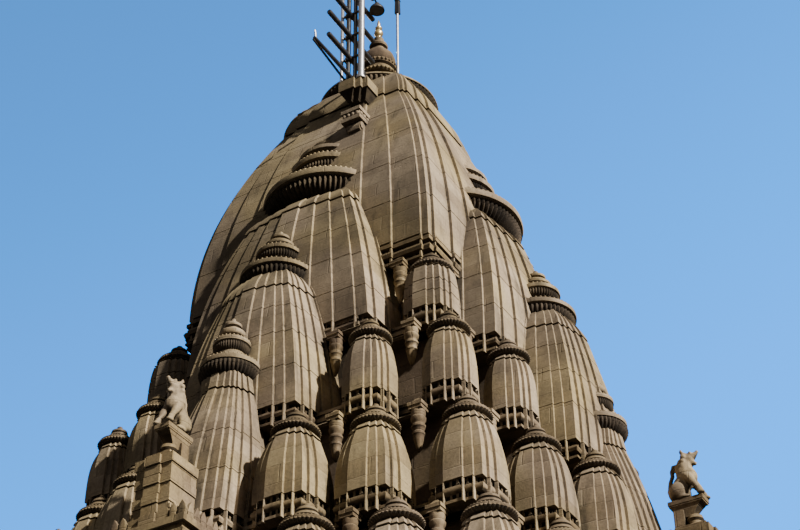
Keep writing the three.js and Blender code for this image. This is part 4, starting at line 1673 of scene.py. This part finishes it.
@dataclass
class Mast:
    """The bracket on the back face with its poles, rungs, rails and lamp.

    soffit is the bracket's underside, inner the y at which its stones end inside the spire, and
    line the y of the poles. lamp and slim are the places of the lamp and of the thin pole.
    """

    bracket_top: float = 24.21
    top: float = 28.0
    rungs: tuple[float, ...] = (24.83, 25.42, 26.01, 26.60, 27.19)
    soffit: float = 23.97
    inner: float = -1.0
    line: float = -1.8
    main_x: float = 0.705
    lamp: tuple[float, float] = (0.696, -1.212)
    slim: tuple[float, float] = (0.86, -0.7)
    slim_foot: float = 25.12 + GAP

    @property
    def foot(self) -> float:
        """Height at which the poles stand on the bracket."""
        return self.bracket_top + GAP

    def bracket(self) -> Shell:
        """The stone corbel that carries the poles, with the carved slab and scroll under it.

        Returns:
            The corbel.
        """
        whole = Shell()
        # Three stepped stones, then the carved slab with bosses on its edges, then the scroll.
        for near, right, drop in ((-1.92, 0.62, 0.0), (-1.87, 0.74, 0.004), (-1.8, 0.85, 0.008)):
            whole.box((0.29 + drop, near, self.soffit + drop), (right, self.inner, self.bracket_top - drop))
        for edge, low, high in ((0.0, 23.1, 23.18), (0.025, 22.97, 23.11), (0.0, 22.9, 22.98)):
            whole.box((0.5 + edge, -2.15 + 1.2 * edge, low), (0.9 - edge, self.inner, high))
        for k in range(4):
            whole.ball((0.875, -2.06 + 0.11 * k, 23.04), (0.03, 0.045, 0.05))
            whole.ball((0.56 + 0.09 * k, -2.12, 23.04), (0.035, 0.03, 0.05))
        scroll = [(-2.02, 22.91), (-2.06, 22.85), (-2.08, 22.78), (-2.06, 22.71), (-2.0, 22.66),
                  (-1.95, 22.6), (-1.9, 22.56), (-1.2, 22.56), (-1.2, 22.91)]
        side = [(0.59, y, z) for y, z in scroll] + [(0.85, y, z) for y, z in scroll]
        count = len(scroll)
        faces = [tuple(range(count)), tuple(reversed(range(count, 2 * count)))]
        faces += [(i, i + count, (i + 1) % count + count, (i + 1) % count) for i in range(count)]
        whole.add(side, faces)
        for y, z, radius in ((-2.0, 22.8, 0.075), (-1.93, 22.64, 0.05)):
            whole.tube([(0.565, y, z), (0.875, y, z)], [radius, radius], 14)
        return whole

    def underside(self) -> Shell:
        """The underside of the bracket and the web that holds it, in near-black stone as painted shade.

        Returns:
            The dark parts.
        """
        whole = Shell().box((0.54, -1.66, 23.16), (0.68, self.inner, 23.76))
        for near, right, drop in ((-1.9, 0.6, 0.0), (-1.85, 0.72, 0.004), (-1.78, 0.83, 0.008)):
            whole.loft([([(0.31 + inset, near + inset), (right - inset, near + inset),
                          (right - inset, self.inner), (0.31 + inset, self.inner)], z)
                        for inset, z in ((0.1, self.soffit - 0.22 + drop),
                                         (0.0, self.soffit + 0.005 + drop))])
        return whole

    def poles(self) -> Shell:
        """The upright steel tubes with their sleeves.

        Returns:
            The tubes.
        """
        foot = self.foot
        whole = Shell()
        for x, y, radius, top in ((self.main_x, self.line, 0.06, self.top),
                                  (0.31, -1.86, 0.032, self.top - 0.9)):
            whole.tube([(x, y, foot), (x, y, foot + 0.01), (x, y, top - 0.01), (x, y, top)],
                       [radius, radius, radius, 0.8 * radius], 20)
            whole.lathe([(0.0, foot), (1.5 * radius, foot), (1.5 * radius, foot + 0.03),
                         (1.15 * radius, foot + 0.05), (0.0, foot + 0.05)], 20, (x, y))
        return whole.tube([(0.43, -2.95, 24.37), (0.43, -2.95, 24.5), (0.43, -2.97, 24.62)],
                          [0.03, 0.022, 0.012], 10)

    def rigging(self) -> Shell:
        """The dark rungs, spreaders, clamps, rails, inner poles and lamp.

        Returns:
            The dark metal.
        """
        whole = Shell()
        for x, radius, top in ((0.573, 0.04, self.top - 0.5), (0.42, 0.045, self.top - 0.3)):
            whole.tube([(x, self.line, self.foot), (x, self.line, top)], [radius, radius], 14)
        # The rungs, the two arms that reach out at the foot, then the lamp with its arm.
        for i, z in enumerate(self.rungs):
            end = -1.0 if i else -1.32
            whole.tube([(0.48, -2.6, z), (0.48, -2.58, z), (0.48, end - 0.02, z), (0.48, end, z)],
                       [0.042, 0.05, 0.05, 0.042], 12)
            whole.tube([(0.30, -1.83, z), (0.66, -1.83, z)], [0.026, 0.026], 10)
            clamp = [(0.0, z - 0.04), (0.07, z - 0.04), (0.07, z + 0.04), (0.0, z + 0.04)]
            whole.lathe(clamp, 16, (0.42, self.line))
        whole.tube([(0.36, -1.5, 24.28), (0.42, -3.0, 24.36)], [0.022, 0.022], 10)
        whole.tube([(0.51, -1.5, 24.32), (0.44, -3.0, 24.40)], [0.045, 0.034], 10)
        whole.tube([(self.main_x, self.line, 26.70), (0.703, -1.6, 26.80), (0.70, -1.4, 26.82),
                    (*self.lamp, 26.77)], [0.018] * 4, 10)
        return whole.lathe([
            (0.0, 26.585), (0.105, 26.575), (0.14, 26.565), (0.15, 26.56), (0.152, 26.575), (0.14, 26.62),
            (0.1, 26.68), (0.05, 26.72), (0.045, 26.77), (0.03, 26.785), (0.0, 26.785),
        ], 28, self.lamp)

    def slim_pole(self) -> Shell:
        """The thin bright pole on the great disc, with its clamp.

        Returns:
            The pole.
        """
        foot = self.slim_foot
        whole = Shell().tube([(*self.slim, z) for z in (foot, 26.8, 27.89, 27.9)],
                             [0.026, 0.026, 0.022, 0.012], 14)
        return whole.lathe([(0.0, foot), (0.05, foot), (0.05, 25.135), (0.03, 25.15), (0.0, 25.15)],
                           16, self.slim)

    def pole_box(self) -> Shell:
        """The dark box near the top of the thin pole."""
        whole = Shell().box((0.815, -0.735, 26.85), (0.905, -0.645, 27.22), 0.006)
        return whole.box((0.81, -0.74, 27.215), (0.91, -0.64, 27.25), 0.01)

    def build(self, shop: Workshop) -> None:
        """Makes the bracket and what stands on it.

        Args:
            shop: the workshop.
        """
        shop.show("mast_corbel", self.bracket(), Finish.BASALT, "mast_bracket")
        # The underside is near-black stone as painted shade.
        shop.show("mast_underside", self.underside(), Finish.HOLLOW, "mast_bracket")
        shop.show("mast_poles", self.poles(), Finish.STEEL, "mast")
        shop.show("mast_rigging", self.rigging(), Finish.IRON, "mast")
        shop.show("thin_pole", self.slim_pole(), Finish.STEEL, "slim_pole")
        shop.show("thin_pole_box", self.pole_box(), Finish.IRON, "slim_pole")


@dataclass
class Sanctum:
    """The plinth, the chamber walls with their doorway, and the storey above.

    floor, door_top and storey are heights; chamber is the chamber's half width, face the distance
    of the front wall from the axis, and frame_out how far the door frame stands out of it. No wall
    face shorter than shortest has relief.
    """

    wall: Plan = square_plan((5.52, 1.0), (5.06, 2.1), (4.63, 3.18), (4.24, 4.24))
    plinth: Plan = square_plan((6.4, 1.5), (5.9, 2.6), (5.45, 3.7), (5.0, 5.0))
    door_half: float = 0.65
    door_top: float = 3.1
    floor: float = 0.6
    chamber: float = 2.2
    storey: float = 6.5
    face: float = 5.52
    frame_out: float = 0.22
    shortest: float = 0.8

    def plinth_shell(self) -> Shell:
        """The moulded plinth and its two treads.

        Returns:
            The plinth.
        """
        steps = ((0.0, -0.02), (0.1, -0.02), (0.1, -0.08), (0.2, -0.08), (0.28, -0.1), (0.4, -0.08),
                 (0.42, -0.03), (0.47, 0.0), (0.6, 0.0))
        whole = Shell().loft([(stepped_outline(self.plinth, out), z) for z, out in steps])
        half, behind = 1.3, 6.2
        for rise, reach in ((0.2, 7.08), (0.4, 6.74)):
            whole.box((-half, behind, 0.0), (half, reach - 0.03, rise - 0.05))
            whole.box((-half, behind, rise - 0.055), (half, reach, rise))
        return whole

    def open_path(self, grow: float) -> Outline:
        """The wall outline from one side of the doorway round to the other.

        Args:
            grow: distance by which it is pushed out.

        Returns:
            The corners, anticlockwise.
        """
        outline = stepped_outline(self.wall, grow)
        front = max(y for _, y in outline)
        first = next(i for i, (x, y) in enumerate(outline) if y == front and x < 0)
        ordered = outline[first:] + outline[:first]
        return [(-DOOR_HALF, front)] + ordered + [(DOOR_HALF, front)]

    def mouldings(self) -> Shell:
        """Bands that run round the chamber, stopping at the door frame where they meet it.

        Returns:
            The bands.
        """
        whole = Shell()
        # How far out the back of a band lies, its lower and upper edge, and how far out its front lies.
        bands = ((0.20, 0.62, 0.70, 0.235), (0.20, 0.80, 0.88, 0.225), (0.11, 1.10, 1.16, 0.15),
                 (0.0, 1.36, 1.44, 0.06), (0.0, 1.50, 1.54, 0.035), (0.0, 2.86, 2.92, 0.035),
                 (0.0, 2.98, 3.14, 0.075), (0.0, 3.45, 3.53, 0.05), (0.0, 3.6, 3.78, 0.09),
                 (0.0, 4.5, 4.56, 0.035), (0.0, 5.72, 5.85, 0.06))
        for inner, z0, z1, out in bands:
            closed = z0 > self.door_top
            whole.moulding((lambda grow: stepped_outline(self.wall, grow)) if closed else self.open_path,
                           [(inner - 0.02, z0), (out, z0), (out, z1), (inner - 0.02, z1)], closed)
        return whole

    def upper(self) -> Shell:
        """The storey under the tower, with its cornice.

        Returns:
            The storey.
        """
        steps = ((0.0, 0.07), (0.12, 0.07), (0.12, 0.04), (0.18, 0.04), (0.24, 0.07), (0.3, 0.0), (0.9, 0.0),
                 (0.9, 0.04), (0.98, 0.04), (0.98, 0.0), (2.45, 0.0), (2.45, 0.05), (2.55, 0.05), (2.55, 0.0),
                 (2.7, 0.0), (2.75, 0.04), (2.8, 0.08), (2.92, 0.2), (3.0, 0.34), (3.08, 0.43), (3.2, 0.44),
                 (3.2, 0.38), (3.3, 0.32), (3.5, 0.2), (3.62, 0.12), (3.7997, 0.08))
        return Shell().loft([(stepped_outline(self.wall, out), self.storey + z) for z, out in steps])

    def niche(self) -> Shell:
        """A niche frame with a small spire over it, its back at y 0, facing -Y.

        Returns:
            The niche.
        """
        whole = Shell()
        for side in (-0.24, 0.24):
            for half, out, low, high in ((0.05, 0.07, 0.0, 0.08), (0.035, 0.055, 0.07, 0.72),
                                         (0.05, 0.07, 0.71, 0.79)):
                whole.box((side - half, -out, low), (side + half, 0.03, high))
        for half, out, low, high in ((0.33, 0.09, -0.07, 0.005), (0.33, 0.1, 0.785, 0.85),
                                     (0.18, 0.012, 0.0, 0.78)):
            whole.box((-half, -out, low), (half, 0.03, high))
        crest = [(0.26, 0.84), (0.26, 0.92), (0.24, 1.02), (0.19, 1.13), (0.12, 1.22)]
        for bands, out in ((1.0, 0.03), (0.62, 0.055), (0.3, 0.08)):
            whole.loft([([(-w * bands, -out), (w * bands, -out), (w * bands, 0.03), (-w * bands, 0.03)], z)
                        for w, z in crest])
        return whole.lathe([(0.0, 1.2), (0.09, 1.21), (0.12, 1.24), (0.09, 1.27), (0.05, 1.3), (0.05, 1.34),
                            (0.0, 1.4)], 12, (0.0, -0.01))

    def pilaster(self, height: float) -> Shell:
        """A flat pier with base and capital, its back at y 0, facing -Y.

        Args:
            height: its height.

        Returns:
            The pier.
        """
        whole = Shell()
        for half, out, low, high in ((0.13, 0.09, 0.0, 0.14), (0.11, 0.07, 0.13, 0.2),
                                     (0.085, 0.05, 0.19, height - 0.2),
                                     (0.11, 0.075, height - 0.21, height - 0.12),
                                     (0.14, 0.1, height - 0.13, height)):
            whole.box((-half, -out, low), (half, 0.03, high))
        return whole

    def runs(self) -> list[Station]:
        """The wall faces that are long enough for relief.

        Returns:
            Middle x, middle y, turn and length of each.
        """
        outline = stepped_outline(self.wall)
        found = []
        for (x0, y0), (x1, y1) in zip(outline, outline[1:] + outline[:1]):
            length = math.hypot(x1 - x0, y1 - y0)
            if length > self.shortest:
                found.append(((x0 + x1) / 2, (y0 + y1) / 2, math.atan2(y1 - y0, x1 - x0), length))
        return found

    def stations(self, z: float, offsets: Callable[[float], Sequence[float]],
                 door: bool) -> list[Station]:
        """Places along each wall face.

        Args:
            z: height of the places.
            offsets: distances from the middle of a face, given its length.
            door: whether the front's middle face is left free for the doorway.

        Returns:
            x, y, z and turn of each place.
        """
        found = []
        for x, y, turn, length in self.runs():
            if door and y > self.face - 0.01:
                continue
            for reach in offsets(length):
                found.append((x + math.cos(turn) * reach, y + math.sin(turn) * reach, z, turn))
        return found

    def ends(self, length: float) -> tuple[float, float]:
        """Two piers near the ends of a face."""
        return (-length / 2 + 0.16, length / 2 - 0.16)

    def relief(self, shop: Workshop) -> Shell:
        """Piers and niches on both storeys.

        Args:
            shop: the workshop.

        Returns:
            The piers and niches.
        """
        whole = Shell()
        for height, z, door in ((1.32, 1.54, True), (1.72, 3.78, False), (1.49, 7.48, False)):
            places = self.stations(z, self.ends, door)
            whole.take(shop.stand(self.pilaster(height), places, Finish.BASALT))
        for z, door in ((1.66, True), (4.02, False), (7.6, False)):
            places = self.stations(z, lambda length: (0.0,), door)
            whole.take(shop.stand(self.niche(), places, Finish.BASALT))
        return whole

    def doorway(self) -> Shell:
        """The moulded door frame with a base on either side.

        Returns:
            The frame.
        """
        whole = Shell()
        face = self.face + self.frame_out
        inner, outer = self.door_half, DOOR_HALF - GAP
        for low, high, front in ((inner, inner + 0.07, face - 0.08),
                                 (inner + 0.065, inner + 0.15, face - 0.03), (inner + 0.145, outer, face)):
            for side in (-1, 1):
                ends = sorted((side * low, side * high))
                whole.box((ends[0], self.chamber, self.floor + GAP), (ends[1], front, self.door_top))
        for side in (-1, 1):
            ends = sorted((side * (inner + 0.02), side * outer))
            whole.box((ends[0], self.face, self.floor + GAP), (ends[1], face - 0.001, 1.0))
        return whole

    def lintel(self) -> Shell:
        """The lintel with its central boss.

        Returns:
            The lintel.
        """
        face = self.face + self.frame_out
        outer = DOOR_HALF - GAP
        whole = Shell()
        for low, high, back in ((self.door_top + GAP, 3.17, 0.06), (3.165, 3.27, 0.02), (3.265, 3.36, 0.0)):
            whole.box((-outer, self.chamber, low), (outer, face - back, high))
        return whole.box((-0.1, face - 0.08, 3.12), (0.1, face - 0.005, 3.3), 0.01)

    def eaves_slab(self) -> Shell:
        """The slab over the cornice that carries the lowest tier.

        Returns:
            The slab.
        """
        steps = ((10.3, 0.0), (10.36, 0.0), (10.36, -0.06), (10.46, -0.06), (10.5, -0.02), (10.56, 0.0),
                 (10.66, 0.0), (10.66, -0.08), (10.76, -0.08), (10.78, -0.02), (10.9, -0.02), (10.9, -0.25),
                 (11.1, -0.25))
        return Shell().loft([(stepped_outline(EAVES, out), z) for z, out in steps])

    def build(self, shop: Workshop) -> None:
        """Makes the lower part of the temple.

        Args:
            shop: the workshop.
        """
        shop.show("plinth_moulded", self.plinth_shell(), Finish.DARK_BASALT, "plinth")
        for node in ("wall_back", "wall_left", "wall_right", "wall_front_left", "wall_front_right",
                     "wall_over_door"):
            shop.dress(node, Finish.BASALT)
        shop.show("chamber_mouldings", self.mouldings(), Finish.BASALT)
        shop.show("wall_relief", self.relief(shop), Finish.BASALT)
        shop.show("door_frame", self.doorway(), Finish.DARK_BASALT, "door_jamb_left", "door_jamb_right")
        shop.show("door_lintel_moulded", self.lintel(), Finish.DARK_BASALT, "door_lintel")
        shop.show("upper_storey_moulded", self.upper(), Finish.BASALT, "upper_storey")
        shop.show("eaves_slab", self.eaves_slab(), Finish.BASALT, "tier_4_spires")


@dataclass(frozen=True)
class Sun:
    """A distant light: its name, the way it shines, its strength and how wide it looks."""

    name: str
    ray: Spot
    energy: float
    spread: float


@dataclass(frozen=True)
class Studio:
    """Floor, soft light and the camera where the photograph was taken."""

    azimuth: float = 31.20
    distance: float = 25.193
    eye: float = 1.6
    yaw: float = 0.897
    pitch: float = 38.01
    roll: float = -0.557
    lens: float = 77.88
    floor_half: float = 12.0
    suns: tuple[Sun, ...] = (Sun("key", (-0.832, 0.207, -0.515), 8.2, 0.03),
                             Sun("far", (0.58, -0.64, -0.5), 1.7, 0.5))
    sunlight: tuple[float, float, float] = (1.0, 0.94, 0.82)
    fill: Colour = (0.18, 0.173, 0.17, 1.0)
    low_fill: Colour = (0.06, 0.053, 0.047, 1.0)
    sky_rise: Spot = (-0.3, -0.18, 1.0)
    sky_high: Colour = (0.062, 0.335, 1.0, 1.0)
    sky_low: Colour = (0.015, 0.77, 2.7, 1.0)

    def camera(self) -> None:
        """Puts the camera at the photograph's place and angle."""
        turn, yaw, pitch, roll = (math.radians(v) for v in (self.azimuth, self.yaw, self.pitch, self.roll))
        heading = Vector((-math.sin(turn), math.cos(turn), 0.0))
        aside = Vector((math.cos(turn), math.sin(turn), 0.0))
        level = heading * math.cos(yaw) + aside * math.sin(yaw)
        ahead = level * math.cos(pitch) + Vector((0, 0, 1)) * math.sin(pitch)
        right = level.cross(Vector((0, 0, 1))).normalized()
        up = right.cross(ahead)
        tilted = right * math.cos(roll) + up * math.sin(roll)
        upright = up * math.cos(roll) - right * math.sin(roll)
        place = Vector((self.distance * math.sin(turn), -self.distance * math.cos(turn), self.eye))
        camera = bpy.data.cameras.new("camera")
        camera.sensor_width = 36
        camera.lens = self.lens
        camera.clip_end = 400
        viewer = put("camera", camera)
        columns = (tilted, upright, -ahead, place)
        viewer.matrix_world = Matrix([[c[i] for c in columns] for i in range(3)] + [[0, 0, 0, 1]])
        bpy.context.scene.camera = viewer

    def floor(self) -> None:
        """Lays the plain pale floor."""
        mesh = bpy.data.meshes.new("floor")
        half = self.floor_half
        mesh.from_pydata([(-half, -half, 0), (half, -half, 0), (half, half, 0), (-half, half, 0)], [],
                         [(0, 1, 2, 3)])
        pale, _, shader = new_material("floor")
        shader.inputs["Base Color"].default_value = (0.62, 0.62, 0.6, 1)
        shader.inputs["Roughness"].default_value = 0.9
        mesh.materials.append(pale)
        put("floor", mesh)

    def lights(self) -> None:
        """A key light from the right, a weak one on the far sides, and the sky."""
        for sun in self.suns:
            lamp = bpy.data.lights.new(sun.name, "SUN")
            lamp.energy = sun.energy
            lamp.angle = sun.spread
            lamp.color = self.sunlight
            put(sun.name, lamp).rotation_euler = Vector(sun.ray).to_track_quat("-Z", "Y").to_euler()
        world = bpy.data.worlds.new("sky")
        world.use_nodes = True
        wiring = Wiring(world.node_tree)
        ray = wiring.node("ShaderNodeTexCoord").outputs["Generated"]
        fill = wiring.blend(wiring.spread(wiring.parts(ray)[2], -0.1, 0.15), self.low_fill, self.fill)
        height = wiring.node("ShaderNodeVectorMath", {0: ray, 1: self.sky_rise}, operation="DOT_PRODUCT")
        sky = wiring.blend(wiring.spread(height.outputs["Value"], 0.36, 0.84), self.sky_low, self.sky_high)
        seen = wiring.node("ShaderNodeLightPath").outputs["Is Camera Ray"]
        wiring.feed(wiring.blend(seen, fill, sky), world.node_tree.nodes["Background"].inputs[0])
        bpy.context.scene.world = world

    def build(self) -> None:
        """Sets the studio up."""
        self.camera()
        self.floor()
        self.lights()


ENGAGED = (
    EngagedSpire("upper", 1.64, BandedSpire(
        half=1.55, spread=0.18, neck=1.075, foot=17.5403, neck_at=20.52, shoulder=0.86, shoulder_at=20.96,
        bands=(0.88, 0.66, 0.42, 0.15), step=0.048, belts=(0.2, 0.45, 0.7, 0.88),
    ), disc=1.224, tip=23.01, ribs=80),
    EngagedSpire("middle", 3.16, BandedSpire(
        half=0.97, spread=0.11, neck=0.64, foot=15.6003, neck_at=18.12, shoulder=0.5, shoulder_at=18.56,
        bands=(0.84, 0.68, 0.43, 0.18), step=0.042, groove=0.04, belts=(0.28, 0.56, 0.8),
    ), disc=0.64, tip=19.88, ribs=48, top=0.78),
    EngagedSpire("lower", 4.54, BandedSpire(
        half=0.6, lean=0.24, neck=0.3, foot=13.4603, neck_at=15.82, shoulder=0.3, shoulder_at=16.13,
        bands=(0.82, 0.55, 0.22), step=0.042, groove=0.04, belts=(0.3, 0.62),
    ), disc=0.5, tip=17.37, ribs=44, plate=0.95, upper=0.96, top=0.85, shifted=True),
)

TIERS = (
    Tier(1, 17.54, square_plan((3.44, 1.8), (2.86, 2.86)), ((2.49, 2.49),), corner=0.33, neck=0.285,
         neck_at=0.8, disc_at=0.86, disc=0.38, tip=1.33, power=3.0,
         belts=(0.36, 0.64), below=((2.4, 3.0), (1.25, 3.33))),
    Tier(2, 15.6, square_plan((4.27, 1.1), (3.91, 2.35), (3.46, 3.46)), ((3.1, 3.1), (1.99, 3.52)),
         corner=0.305, neck=0.22, neck_at=0.92, disc_at=1.04, disc=0.35, tip=1.5, power=3.8,
         below=((2.81, 3.55), (1.65, 3.9))),
    Tier(3, 13.46, square_plan((5.06, 0.82), (4.93, 1.77), (4.49, 2.93), (4.03, 4.03)),
         ((3.65, 3.65), (2.43, 4.1), (1.39, 4.54)), disc=0.375, below=((3.4, 4.13), (2.35, 4.6))),
    Tier(4, 11.45, EAVES, ((4.21, 4.21), (3.11, 4.69), (2.03, 5.16)), disc=0.39),
)


def main() -> None:
    """Builds the studio and the temple."""
    logging.basicConfig(level=logging.INFO, format="%(name)s %(message)s")
    Studio().build()
    shop = Workshop()
    Sanctum().build(shop)
    for tier in TIERS:
        tier.build(shop)
    for tier in TIERS:
        shop.dress(f"tier_{tier.number}_core", Finish.DARK_BASALT)
    Pedestal().build(shop)
    Lion().build(shop)
    for spire in ENGAGED:
        spire.build(shop)
    MainSpire().build(shop)
    Mast().build(shop)


if __name__ == "__main__":
    main()
